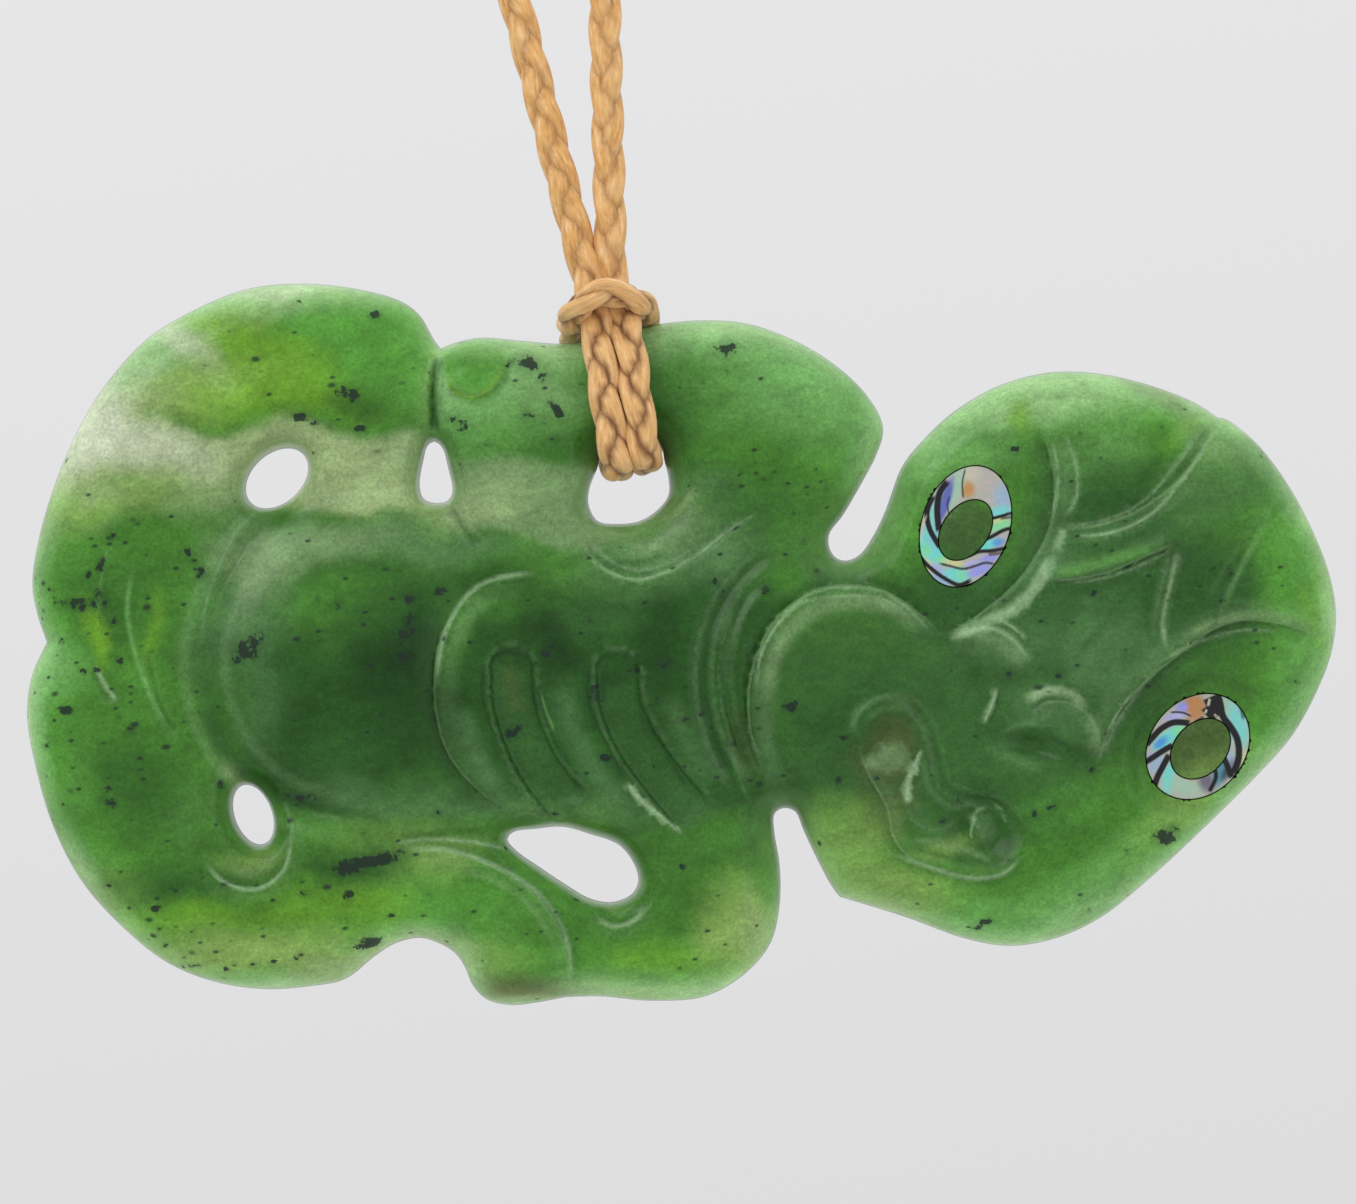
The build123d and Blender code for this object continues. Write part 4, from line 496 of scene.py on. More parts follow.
# Dark specks in the stone, in the same pixels: ovals, without a lean where they lie level
Speck = namedtuple("Speck", "across down half_long half_short strength lean", defaults=(0,))
stone_specks = [Speck(*row) for row in (
    # Thigh and knee
    (302, 418, 7, 5, 1.0, 20), (316, 424, 6, 4, 0.9), (362, 430, 9, 4, 1.0, 10), (376, 317, 8, 5, 0.8, 10),
    (206, 367, 5, 3, 0.6), (352, 394, 18, 9, 0.75), (300, 302, 4, 3, 0.6), (332, 428, 4, 3, 0.7),
    # Shin
    (116, 537, 4, 4, 1.0), (203, 573, 8, 5, 0.9, 60), (70, 710, 10, 5, 1.0, -12), (104, 566, 6, 10, 0.9),
    (92, 574, 4, 4, 0.8), (84, 604, 24, 9, 0.75, -5), (106, 600, 8, 10, 0.8, 30), (118, 620, 4, 4, 0.8),
    (50, 746, 4, 3, 0.8), (50, 737, 3, 3, 0.7), (113, 802, 9, 5, 0.85, -16), (112, 788, 5, 3, 0.7),
    (134, 728, 5, 4, 0.7), (123, 661, 5, 5, 0.7), (100, 670, 5, 4, 0.7), (86, 671, 4, 4, 0.7),
    (190, 552, 5, 5, 0.7), (64, 641, 4, 6, 0.6), (222, 784, 6, 4, 0.85, 40), (160, 906, 7, 4, 1.0, 20),
    (110, 884, 5, 2, 0.8), (194, 930, 4, 2, 0.8), (160, 878, 5, 3, 0.5), (70, 603, 6, 4, 0.7),
    # Heel and ankle
    (190, 965, 14, 1.5, 0.9, 6), (228, 967, 3, 3, 0.9), (255, 963, 5, 2.5, 0.9), (275, 960, 4, 2.5, 0.9),
    (298, 957, 4, 2, 0.8), (186, 956, 4, 2, 0.8), (167, 944, 4, 3, 0.8, 40), (372, 860, 36, 8, 1.0, 12),
    (346, 866, 12, 8, 1.0), (370, 942, 15, 6, 1.0, 20), (350, 894, 6, 6, 0.7, 50), (305, 892, 4, 3, 0.6),
    (392, 915, 5, 3, 0.8, 30), (430, 893, 4, 3, 0.7), (300, 797, 22, 7, 0.6), (440, 812, 5, 4, 0.8, -30),
    (332, 850, 4, 3, 0.7),
    # Belly
    (252, 648, 20, 12, 0.85, 32), (242, 660, 8, 5, 0.9, 30), (410, 630, 9, 22, 0.75, -12),
    (412, 600, 7, 7, 0.8), (340, 606, 8, 5, 0.7, -30), (320, 600, 5, 4, 0.6), (404, 655, 8, 10, 0.7),
    (446, 638, 7, 5, 0.6), (350, 738, 3, 3, 0.7),
    # Chest
    (443, 592, 8, 7, 0.7), (545, 653, 7, 5, 0.8), (512, 732, 12, 5, 1.0, 38), (540, 738, 4, 3, 0.7),
    (606, 757, 7, 4, 0.95, -10), (634, 670, 7, 5, 0.75), (702, 712, 6, 4, 0.9, 30),
    (686, 719, 6, 4, 0.7, 10), (555, 813, 5, 3, 0.8), (590, 620, 4, 4, 0.7), (664, 662, 10, 10, 0.5),
    (597, 694, 9, 14, 0.55), (660, 764, 10, 6, 0.5, 40), (716, 582, 5, 5, 0.6), (765, 590, 8, 5, 0.6, -20),
    (758, 784, 5, 4, 0.7),
    # Arms
    (530, 365, 16, 9, 0.75, -20), (543, 378, 7, 5, 0.7), (558, 411, 12, 6, 0.95, -40),
    (528, 416, 7, 3, 0.85, -10), (512, 363, 9, 3, 0.85, 40), (462, 425, 14, 8, 0.55, -30),
    (545, 424, 5, 3, 0.7, -20), (725, 350, 14, 9, 0.7), (488, 446, 6, 3, 0.6), (786, 484, 5, 3, 0.6),
    (815, 470, 4, 3, 0.6), (683, 865, 4, 4, 0.8), (552, 440, 5, 3, 0.6), (690, 485, 4, 3, 0.5),
    # Head
    (1012, 450, 6, 3, 0.9, -10), (1178, 408, 10, 3, 0.6, -26), (985, 920, 8, 4, 1.0, 10),
    (975, 927, 8, 2.5, 0.8), (1125, 850, 4, 4, 0.7), (790, 706, 8, 7, 0.9), (1164, 836, 15, 9, 0.85, 10),
    (1172, 828, 6, 5, 0.8), (1091, 593, 7, 4, 0.75, 20), (1006, 673, 4, 4, 0.8), (1059, 673, 9, 6, 0.7, 20),
    (1090, 769, 7, 4, 0.8), (1050, 806, 7, 3, 0.85, 24), (1032, 814, 4, 3, 0.8), (843, 737, 6, 3, 0.7),
    (838, 780, 6, 4, 0.7, 40), (941, 821, 6, 3, 0.7, 20), (956, 800, 7, 3, 0.8, -20),
    (1290, 680, 9, 4, 0.6, -20), (1150, 548, 4, 3, 0.7), (1226, 572, 4, 8, 0.5), (1088, 909, 3, 3, 0.9),
    (876, 778, 5, 3, 0.6), (1220, 600, 5, 4, 0.5),
)]

# Where the stone is full of tiny flecks, in the patches' columns but the tone
fleck_patches = [Patch("", *row) for row in (
    (110, 580, 90, 70, 1.0, 0, 0.5), (110, 720, 90, 110, 0.7, 0, 0.6), (170, 900, 90, 70, 0.9, -20, 0.6),
    (330, 900, 110, 60, 0.8, 0, 0.6), (330, 380, 110, 50, 0.4, 0, 0.8), (400, 620, 70, 60, 0.8, 0, 0.6),
    (560, 400, 60, 40, 0.6, 0, 0.7), (640, 640, 130, 60, 0.4, 0, 0.8), (780, 510, 60, 50, 0.8, 0, 0.7),
    (1100, 620, 130, 90, 0.5, 0, 0.8), (560, 930, 80, 60, 0.4, 0, 0.8), (740, 770, 30, 60, 0.5, 0, 0.8),
)]

# The right half of the ring of cord, from the lark's head up: millimetres out from the middle,
# towards the back, and above the hang point
strand_route = (
    (1.1, -1.5, -289.6), (3.6, -1.3, -267.7), (8.5, -0.9, -228.0), (16.3, -0.5, -170.5),
    (23.4, -0.2, -113.0), (29.0, -0.1, -63.3), (31.6, 0.0, -31.4), (28.1, 0.0, -14.8), (19.3, 0.0, -2.7),
    (10.4, 0.0, 2.1), (3.6, 0.0, 2.1),
)
lark_head_height = -292.9

# The lark's head, in millimetres across it, towards the back and above its middle: the left leg
# down, the bight over the arm and the right leg up again
lark_head_route = (
    (-0.7, -1.9, 0.2), (-0.66, -3.9, -2.8), (-0.72, -4.65, -5.6), (-0.72, -4.65, -9.2), (-0.55, -3.9, -12.1),
    (-0.6, 0.3, -12.2), (-0.8, 4.2, -11.6), (-1.2, 4.7, -8.4), (-2.0, 4.5, -5.2), (-2.3, 3.4, -2.5),
    (-2.25, 0.2, -1.75), (-2.2, -2.6, -1.7), (-1.75, -4.6, -0.75), (0.45, -5.1, -0.05), (2.3, -4.6, -0.9),
    (2.6, -2.6, -1.6), (2.6, 0.2, -1.75), (2.6, 3.4, -2.5), (2.5, 4.5, -5.2), (2.0, 4.7, -8.4),
    (1.5, 4.2, -11.6), (1.4, 0.3, -12.0), (1.43, -3.9, -11.8), (1.36, -4.65, -9.2), (1.42, -4.65, -5.6),
    (1.42, -3.9, -2.8), (0.7, -1.2, 0.2),
)


def size_setting(name, description, default):
    """A length that a user can change."""
    return FloatProperty(name=name, description=description, default=default, subtype="DISTANCE",
                         unit="LENGTH", precision=5)


def tone_setting(name, description, default):
    """A colour that a user can change."""
    return FloatVectorProperty(name=name, description=description, default=default, subtype="COLOR", size=3)


class CarvingSettings(bpy.types.PropertyGroup):
    """Sizes and colours of the carved figure."""

    length: size_setting("Length", "Length of the figure, legs to crown", 0.09)
    width: size_setting("Width", "Width of the figure across its arms", 0.0496)
    front: size_setting("Front height", "Height of the face over the middle plane", 0.0026)
    back: size_setting("Back depth", "Depth of the back under the middle plane", 0.0024)
    swell: size_setting("Swell", "How much further the middle of the slab stands out", 0.0007)
    relief: size_setting("Relief", "Height that the relief tables are shares of", 0.001)
    line_width: size_setting("Line width", "Width that the line tables are shares of", 0.0011)
    tilt: FloatProperty(name="Tilt", description="How far the figure's head hangs below level",
                        default=math.radians(8), subtype="ANGLE")
    fineness: size_setting("Fineness", "Distance between the points of the carved face", 0.00038)
    green: tone_setting("Green", "Plain colour of the stone", (0.047, 0.159, 0.019))
    moss: tone_setting("Moss green", "Colour of the middle of the face", (0.03, 0.097, 0.021))
    # Deep and dark are also laid as painted shade beside the carved lines and slots, and sage as painted
    # light along the swellings
    deep: tone_setting("Deep green", "Colour of the thick middle of the body", (0.017, 0.072, 0.011))
    dark: tone_setting("Dark green", "Colour of the darkest clouds in the stone", (0.005, 0.03, 0.004))
    bright: tone_setting("Bright green", "Colour of the clear green parts", (0.076, 0.254, 0.033))
    leaf: tone_setting("Leaf green", "Colour of the light green parts", (0.139, 0.329, 0.097))
    mist: tone_setting("Misty green", "Colour of the milky green parts", (0.072, 0.165, 0.057))
    sage: tone_setting("Sage green", "Colour of the pale milky parts", (0.148, 0.254, 0.101))
    lime: tone_setting("Yellow green", "Colour of the yellow streaks", (0.131, 0.303, 0.019))
    olive: tone_setting("Olive", "Colour of the greyed yellow parts", (0.197, 0.316, 0.08))
    straw: tone_setting("Straw", "Colour of the pale band", (0.254, 0.342, 0.153))
    cream: tone_setting("Cream", "Colour of the palest end of the band", (0.456, 0.506, 0.366))
    rim: tone_setting("Rim", "Colour of the thin rim, where light comes through", (0.25, 0.42, 0.18))
    pale: tone_setting("Pale", "Colour of the light on the edges of the relief", (0.254, 0.395, 0.21))
    brown: tone_setting("Brown", "Colour of the olive brown parts", (0.068, 0.101, 0.025))
    umber: tone_setting("Umber", "Colour of the brown stain at the fingertips", (0.084, 0.061, 0.021))


class ShellSettings(bpy.types.PropertyGroup):
    """Sizes and colours of the shell rings."""

    thickness: size_setting("Thickness", "Thickness of a ring", 0.001)
    gap: size_setting("Gap", "Width of the dark line round a ring", 0.00009)
    sink: size_setting("Sink", "How far the rings' seats lie under the face", 0.0001)
    steps: IntProperty(name="Steps", description="Points round a recess", default=72)
    rows: IntProperty(name="Rows", description="Rows of points across a ring", default=26)
    pearl: tone_setting("Pearl", "Plain colour of the shell", (0.36, 0.36, 0.3))
    cream: tone_setting("Cream", "Palest colour of the shell", (0.5, 0.47, 0.33))
    blush: tone_setting("Blush", "Greyish pink layer", (0.38, 0.34, 0.31))
    straw: tone_setting("Straw", "Greenish yellow layer", (0.5, 0.5, 0.22))
    amber: tone_setting("Amber", "Orange brown spot", (0.42, 0.2, 0.05))
    copper: tone_setting("Copper", "Copper brown layer", (0.38, 0.19, 0.08))
    umber: tone_setting("Umber", "Dark red brown line", (0.06, 0.025, 0.012))
    sage: tone_setting("Sage", "Greyish green layer", (0.28, 0.44, 0.32))
    jade: tone_setting("Jade", "Bright green layer", (0.18, 0.56, 0.26))
    aqua: tone_setting("Aqua", "Turquoise layer", (0.14, 0.52, 0.48))
    teal: tone_setting("Teal", "Dark turquoise layer", (0.07, 0.2, 0.24))
    azure: tone_setting("Azure", "Bright blue layer", (0.06, 0.22, 0.56))
    sky: tone_setting("Sky", "Greyish blue layer", (0.24, 0.36, 0.5))
    indigo: tone_setting("Indigo", "Deep violet blue layer", (0.1, 0.12, 0.36))
    violet: tone_setting("Violet", "Violet layer", (0.24, 0.25, 0.62))
    lilac: tone_setting("Lilac", "Pale violet layer", (0.33, 0.33, 0.56))
    mauve: tone_setting("Mauve", "Dark greyish violet layer", (0.11, 0.09, 0.13))
    ink: tone_setting("Ink", "Black lines between the layers", (0.008, 0.008, 0.01))


class CordSettings(bpy.types.PropertyGroup):
    """Sizes and colours of the plaited cord."""

    diameter: size_setting("Diameter", "Width of the plait", 0.00215)
    pitch: size_setting("Pitch", "Length in which a strand comes back to the same side", 0.0108)
    tan: tone_setting("Tan", "Colour of the waxed strands", (0.66, 0.35, 0.1))
    # Shade is the colour of the painted shade in the folds between strands, and of the darker threads
    shade: tone_setting("Shade", "Colour of the folds between strands", (0.17, 0.055, 0.006))


class StageSettings(bpy.types.PropertyGroup):
    """Colours and light of the stage."""

    backdrop: tone_setting("Backdrop", "Colour of the pale surroundings", (0.76, 0.76, 0.77))
    key: FloatProperty(name="Key light", description="Power of the large soft light", default=1.6,
                       unit="POWER")
    distance: size_setting("Camera distance", "Distance of the camera from the figure", 0.6)


# Points worked on at once, and the points of a smooth curve from one given point to the next
batch = 3000
curve_steps = 48


def even_line(line, step):
    """A line's points, spaced evenly, and how far along it each lies."""
    length = np.concatenate([[0], np.cumsum(np.linalg.norm(np.diff(line, axis=0), axis=1))])
    at = np.linspace(0, length[-1], max(2, round(length[-1] / step)) + 1)
    return np.column_stack([np.interp(at, length, axis) for axis in line.T]), at


def unit(rows):
    """Each row, made one long."""
    return rows / np.linalg.norm(rows, axis=1)[:, None]


def smooth_curve(points, step, closed=False):
    """Evenly spaced points on a centripetal Catmull-Rom curve through the given ones."""
    given = np.asarray(points, dtype=float)
    if closed:
        ring = np.vstack([given[-1], given, given[0], given[1]])
    else:
        ring = np.vstack([2 * given[0] - given[1], given, 2 * given[-1] - given[-2]])
    dense = []
    for p0, p1, p2, p3 in zip(ring[:-3], ring[1:-2], ring[2:-1], ring[3:]):
        t1 = math.sqrt(np.linalg.norm(p1 - p0))
        t2 = t1 + math.sqrt(np.linalg.norm(p2 - p1))
        t3 = t2 + math.sqrt(np.linalg.norm(p3 - p2))
        t = np.linspace(t1, t2, curve_steps, endpoint=False)[:, None]
        a1 = (t1 - t) / t1 * p0 + t / t1 * p1
        a2 = (t2 - t) / (t2 - t1) * p1 + (t - t1) / (t2 - t1) * p2
        a3 = (t3 - t) / (t3 - t2) * p2 + (t - t2) / (t3 - t2) * p3
        b1 = (t2 - t) / t2 * a1 + t / t2 * a2
        b2 = (t3 - t) / (t3 - t1) * a2 + (t - t1) / (t3 - t1) * a3
        dense.append((t2 - t) / (t2 - t1) * b1 + (t - t1) / (t2 - t1) * b2)
    dense.append(given[:1] if closed else given[-1:])
    even = even_line(np.vstack(dense), step)[0]
    return even[:-1] if closed else even


def nearest_on(points, line, closed=False, reach=None):
    """Distance of each point from a line, its side of it, and how far along it the foot lies."""
    ends = np.roll(line, -1, axis=0) if closed else line[1:]
    starts = line if closed else line[:-1]
    run = ends - starts
    size = np.maximum((run ** 2).sum(axis=1), 1e-18)
    apart = np.full(len(points), np.inf)
    hand = np.zeros(len(points))
    way = np.zeros(len(points))
    near = np.arange(len(points))
    if reach is not None:
        low, high = line.min(axis=0) - reach, line.max(axis=0) + reach
        near = near[((points >= low) & (points <= high)).all(axis=1)]
    for start in range(0, len(near), batch):
        part = near[start:start + batch]
        offset = points[part][:, None, :] - starts[None]
        share = np.clip((offset * run[None]).sum(axis=2) / size, 0, 1)
        miss = offset - share[..., None] * run[None]
        distance = (miss ** 2).sum(axis=2)
        best = distance.argmin(axis=1)
        row = np.arange(len(part))
        cross = run[best, 0] * offset[row, best, 1] - run[best, 1] * offset[row, best, 0]
        apart[part] = np.sqrt(distance[row, best])
        hand[part] = np.sign(cross)
        way[part] = (best + share[row, best]) / len(run)
    return apart, hand, way


def inside(points, loop):
    """Which points lie inside a closed loop."""
    x1, y1 = loop[:, 0], loop[:, 1]
    x2, y2 = np.roll(x1, -1), np.roll(y1, -1)
    rise = np.where(y2 == y1, 1e-18, y2 - y1)
    found = np.zeros(len(points), dtype=bool)
    for start in range(0, len(points), batch):
        x, y = points[start:start + batch, 0][:, None], points[start:start + batch, 1][:, None]
        crossed = (x < (x2 - x1) * (y - y1) / rise + x1) & ((y1 > y) != (y2 > y))
        found[start:start + batch] = crossed.sum(axis=1) % 2 == 1
    return found


def rounded(share):
    """Height of a quarter-round edge, as a share, at a share of its width."""
    return np.sqrt(1 - (1 - np.clip(share, 0, 1)) ** 2)


def soft_step(value, low, high):
    """A smooth rise from 0 at low to 1 at high."""
    t = np.clip((value - low) / (high - low), 0, 1)
    return t * t * (3 - 2 * t)


def thinned(fixed, more, apart):
    """The fixed points, with those of the others that keep a distance from all earlier ones."""
    cells = {}
    kept = []
    for index, (x, y) in enumerate(np.vstack([fixed, more])):
        column, row = int(x / apart), int(y / apart)
        if index >= len(fixed):
            close = False
            for key in ((column + i, row + j) for i in (-1, 0, 1) for j in (-1, 0, 1)):
                for px, py in cells.get(key, ()):
                    if (px - x) ** 2 + (py - y) ** 2 < apart * apart:
                        close = True
                        break
                if close:
                    break
            if close:
                continue
        cells.setdefault((column, row), []).append((x, y))
        kept.append((x, y))
    return np.array(kept)


def heading(degrees):
    """The cosine and sine of a lean."""
    return math.cos(math.radians(degrees)), math.sin(math.radians(degrees))


def round_oval(half_long, half_short, lean, turn):
    """Offsets from an oval's centre to its edge, at each angle."""
    c, s = heading(lean)
    long, short = half_long * np.cos(turn), half_short * np.sin(turn)
    return np.column_stack([long * c - short * s, long * s + short * c])


def oval_distance(offset, half_long, half_short, lean):
    """Length of each offset from an oval's centre, as a share of the oval's own."""
    c, s = heading(lean)
    a = (offset[:, 0] * c + offset[:, 1] * s) / half_long
    b = (offset[:, 1] * c - offset[:, 0] * s) / half_short
    return np.sqrt(a * a + b * b)


def left_of(line):
    """The direction to the left of a line, at each of its points."""
    run = unit(np.gradient(line, axis=0))
    return np.column_stack([-run[:, 1], run[:, 0]])


class Carving:
    """The carved figure as a height over its middle plane, in metres along it and up it."""

    # Widths over which the rims are rounded, steps along the edges and lines, and reach of the swell
    rim_width = 0.003
    hole_width = 0.0016
    cord_hole_width = 0.0027
    edge_step = 0.0003
    line_step = 0.00028
    swell_reach = 0.012
    # The sections of the carved lines, and the share of their length over which they fade
    edge_bevel = 0.00015
    edge_raise = 0.35
    edge_scoop = 0.65
    slot_wall = 0.25
    line_fade = 0.12
    # The pupil's height, and the flat seat round a ring and where it ends, as shares of the ring's oval
    pupil_dome = 0.00015
    seat_flat = 1.1
    seat_reach = 1.5
    # The rows of points along the rims, the least depth of one, and the share of it that each point keeps
    front_rows, back_rows = 10, 8
    least_depth = 0.00004
    depth_kept = 0.93
    # How deep in the stone the added points lie, and how far they keep from the rings' recesses
    row_depth = 0.0005
    field_depth = 0.0004
    back_field_depth = 0.0009
    ring_outside = 1.04
    pupil_inside = 0.92
    # Least distance between points, and the back's distance, as shares of the fineness
    front_apart = 0.32
    back_apart = 0.4
    back_coarseness = 2.4
    # Half widths in pixels: the widest stroke that gets points of its own, and the least cloud on the back
    thin_stroke = 5
    cloud_width = 18
    # Where the cord crosses the figure's edge, in the outline's columns
    hung_from = (43.9, 98.8)

    def __init__(self, carving, shell):
        self.carving, self.shell = carving, shell
        self.pixel = carving.length / figure_pixels
        self.outline = np.vstack([smooth_curve(self.place(run), self.edge_step)[:-1] for run in outline_runs])
        self.loops = [
            (self.outline, self.rim_width),
            (self.oval_loop(upper_knee_hole), self.hole_width),
            (self.oval_loop(lower_knee_hole), self.hole_width),
            (smooth_curve(self.place(waist_slot), self.edge_step, closed=True), self.hole_width),
            (smooth_curve(self.place(cord_hole), self.edge_step, closed=True), self.cord_hole_width),
            (smooth_curve(self.place(elbow_hole), self.edge_step, closed=True), self.hole_width),
        ]
        self.lines = {name: smooth_curve(self.place(row[4]), self.line_step)
                      for name, row in carved_lines.items()}
        self.seats = {name: self.seat_height(outer) for name, (outer, _) in eye_rings.items()}

    def place(self, points):
        """Metres along and up the figure, of points in percent of its length and width."""
        return np.asarray(points, dtype=float) * (self.carving.length / 100, self.carving.width / 100)

    def oval_points(self, oval, count, grow=0.0):
        """Points round an oval, grown by a length."""
        turn = np.linspace(0, 2 * math.pi, count, endpoint=False)
        a = oval.half_long * self.carving.length / 100 + grow
        b = oval.half_short * self.carving.length / 100 + grow
        return self.place((oval.along, oval.up)) + round_oval(a, b, oval.lean, turn)

    def oval_loop(self, oval):
        """A loop round an oval hole."""
        girth = math.pi * (oval.half_long + oval.half_short) * self.carving.length / 100
        return self.oval_points(oval, round(girth / self.edge_step))

    def oval_share(self, points, oval):
        """Distance of each point from an oval's centre, as a share of the oval's own."""
        share = self.carving.length / 100
        offset = points - self.place((oval.along, oval.up))
        return oval_distance(offset, oval.half_long * share, oval.half_short * share, oval.lean)

    def in_stone(self, points, depth):
        """The points that lie in the stone at least that deep."""
        keep = inside(points, self.outline)
        for loop, _ in self.loops[1:]:
            keep &= ~inside(points, loop)
        points = points[keep]
        for loop, _ in self.loops:
            points = points[nearest_on(points, loop, closed=True, reach=depth * 1.5)[0] >= depth]
        return points

    def rim_rows(self, steps):
        """Rows of points that follow every loop, closer together towards the edge."""
        rows = []
        for index, (loop, width) in enumerate(self.loops):
            along = unit(np.roll(loop, -1, axis=0) - np.roll(loop, 1, axis=0))
            area = (loop[:, 0] * np.roll(loop[:, 1], -1) - np.roll(loop[:, 0], -1) * loop[:, 1]).sum()
            side = 1 if (area > 0) == (index == 0) else -1
            normal = side * np.column_stack([-along[:, 1], along[:, 0]])
            for turn in np.linspace(0, math.pi / 2, steps + 1)[1:]:
                depth = width * (1 - math.cos(turn))
                if depth > self.least_depth:
                    rows.append(self.in_stone(loop + normal * depth, depth * self.depth_kept))
        return np.vstack(rows)

    def line_rows(self):
        """Rows of points along each carved line and beside it."""
        shares = {
            "cut": (0, 0.15, -0.15, 0.4, -0.4, 0.7, -0.7, 1, -1),
            "slot": (0, 0.4, -0.4, 0.75, -0.75, 0.87, -0.87, 1, -1),
            "edge": (0.25, -0.25, 0.5, -0.5, 0.75, -0.75, 1, -1),
        }
        rows = []
        for name, (kind, _, width, _, _) in carved_lines.items():
            line = self.lines[name]
            left = left_of(line)
            if kind == "edge":
                rows += [line + left * self.edge_bevel * side for side in (0, 1, -1)]
            rows += [line + left * width * self.carving.line_width * share for share in shares[kind]]
        return np.vstack(rows)

    def field(self, step):
        """A field of points in rows, each row shifted by half a step."""
        rows = []
        for index, up in enumerate(np.arange(step / 2, self.carving.width, step * 0.866)):
            along = np.arange(0, self.carving.length, step) + step / 2 * (index % 2)
            rows.append(np.column_stack([along, np.full(len(along), up)]))
        return np.vstack(rows)

    def edge_share(self, points):
        """Distance from the outline, and the least distance from any loop as a share of its rounding."""
        shares = [nearest_on(points, loop, closed=True)[0] / width for loop, width in self.loops]
        return shares[0] * self.rim_width, np.min(shares, axis=0)

    def plain(self, points, height):
        """Height of the uncarved slab, whose edges are rounded."""
        deep, share = self.edge_share(points)
        return rounded(share) * (height + self.carving.swell * rounded(deep / self.swell_reach)), share

    def seat_height(self, outer):
        """Height of the flat seat round a shell ring."""
        round_it = self.oval_points(outer, 48, self.shell.gap)
        return float(self.plain(round_it, self.carving.front)[0].min()) - self.shell.sink

    def relief(self, points):
        """Height of the carved relief over the plain face."""
        height = np.zeros(len(points))
        for oval, share in swellings.values():
            height += share * np.clip(1 - self.oval_share(points, oval) ** 2, 0, 1) ** 1.5
        for name, (kind, side, width, depth, _) in carved_lines.items():
            wide = width * self.carving.line_width
            apart, hand, way = nearest_on(points, self.lines[name], reach=wide)
            close = np.clip(1 - apart / wide, 0, 1)
            fade = np.clip(np.minimum(way, 1 - way) / self.line_fade, 0, 1)
            if kind == "cut":
                change = -fade * close ** 1.5
            elif kind == "slot":
                change = -np.clip((1 - way) / self.line_fade, 0, 1) * np.clip(close / self.slot_wall, 0, 1)
            else:
                rise = soft_step(np.minimum(apart, wide) * hand * side, -self.edge_bevel, self.edge_bevel)
                change = fade * ((self.edge_raise + self.edge_scoop) * rise - self.edge_scoop) * close ** 1.5
            height += depth * change
        return height * self.carving.relief

    def front(self, points):
        """Height of the carved face over the middle plane."""
        plain, share = self.plain(points, self.carving.front)
        height = np.maximum(plain + rounded(share) * self.relief(points), plain / 3)
        for name, (outer, pupil) in eye_rings.items():
            reach = (self.seat_reach - self.oval_share(points, outer)) / (self.seat_reach - self.seat_flat)
            seat = soft_step(reach, 0, 1)
            height = height * (1 - seat) + np.minimum(plain, self.seats[name]) * seat
            height += self.pupil_dome * np.clip(1 - self.oval_share(points, pupil) ** 2, 0, 1)
        return height

    def recess(self, name):
        """The points of a ring's recess, and their heights: outer top and foot, inner foot and top."""
        outer, pupil = eye_rings[name]
        gap, steps = self.shell.gap, self.shell.steps
        loops = [self.oval_points(outer, steps, gap), self.oval_points(outer, steps, gap / 2),
                 self.oval_points(pupil, steps, -gap / 2), self.oval_points(pupil, steps, -gap)]
        top = self.seats[name]
        foot = top - self.shell.thickness - gap
        return np.vstack(loops), np.repeat([top, foot, foot, top], steps)

    def hung(self, along, up, out):
        """Where a point of the figure hangs: along it, up it and towards the front."""
        middle = self.place(self.hung_from)
        a, b = along - middle[0], up - middle[1]
        c, s = math.cos(self.carving.tilt), math.sin(self.carving.tilt)
        return np.column_stack([a * c + b * s, -out + 0 * a, b * c - a * s + lark_head_height / 1000])

    def from_photo(self, across, down):
        """Metres along and up the figure, of a place in the photograph's pixels."""
        return (np.asarray(across) - figure_left) * self.pixel, (figure_foot - np.asarray(down)) * self.pixel

    def photo_line(self, route, step, closed=False):
        """The smooth line through places in the photograph's pixels."""
        places = np.column_stack(self.from_photo(*np.array(route, dtype=float).T))
        return smooth_curve(places, step, closed=closed)


def triangles(carving, points, edges):
    """Triangles over the stone only."""
    mesh = delaunay_2d_cdt([Vector(p) for p in points], edges, [], 0, 1e-9, False)
    if len(mesh[0]) != len(points):
        raise RuntimeError("the triangulation added or merged points")
    faces = np.array(mesh[2])
    centres = points[faces].mean(axis=1)
    keep = inside(centres, carving.outline)
    for loop, _ in carving.loops[1:]:
        keep &= ~inside(centres, loop)
    faces = faces[keep]
    a, b, c = points[faces[:, 0]], points[faces[:, 1]], points[faces[:, 2]]
    area = (b[:, 0] - a[:, 0]) * (c[:, 1] - a[:, 1]) - (b[:, 1] - a[:, 1]) * (c[:, 0] - a[:, 0])
    faces[area < 0] = faces[area < 0][:, ::-1]
    return faces


# Blender shifts its noise by a seed from the clock where none is set, so that each run would differ
noise_seed = 1


def wandering(points, size, layer):
    """A smooth pair of offsets between -1 and 1 at each point, that changes over about a size."""
    noise.seed_set(noise_seed)
    return np.array([noise.noise_vector((x / size, y / size, layer)) for x, y in points])[:, :2]


def rim_light(carving, settings, points):
    """The stone's plain colour at each point, with painted light near the outline, where the thin stone lets
    light through.
    """
    deep = nearest_on(points + wandering(points, 0.006, 5.3) * 0.0012, carving.outline, closed=True)[0]
    tones = np.array([tuple(getattr(settings, tone)) for tone in ("rim", "leaf", "bright", "green")])
    return np.column_stack([np.interp(deep, rim_depths, tones[:, band]) for band in range(3)])


def oval_reach(carving, row, points):
    """Distance of each point from the middle of a patch or speck, as a share of its oval's own."""
    offset = points - carving.from_photo(row.across, row.down)
    return oval_distance(offset, row.half_long * carving.pixel, row.half_short * carving.pixel, row.lean)


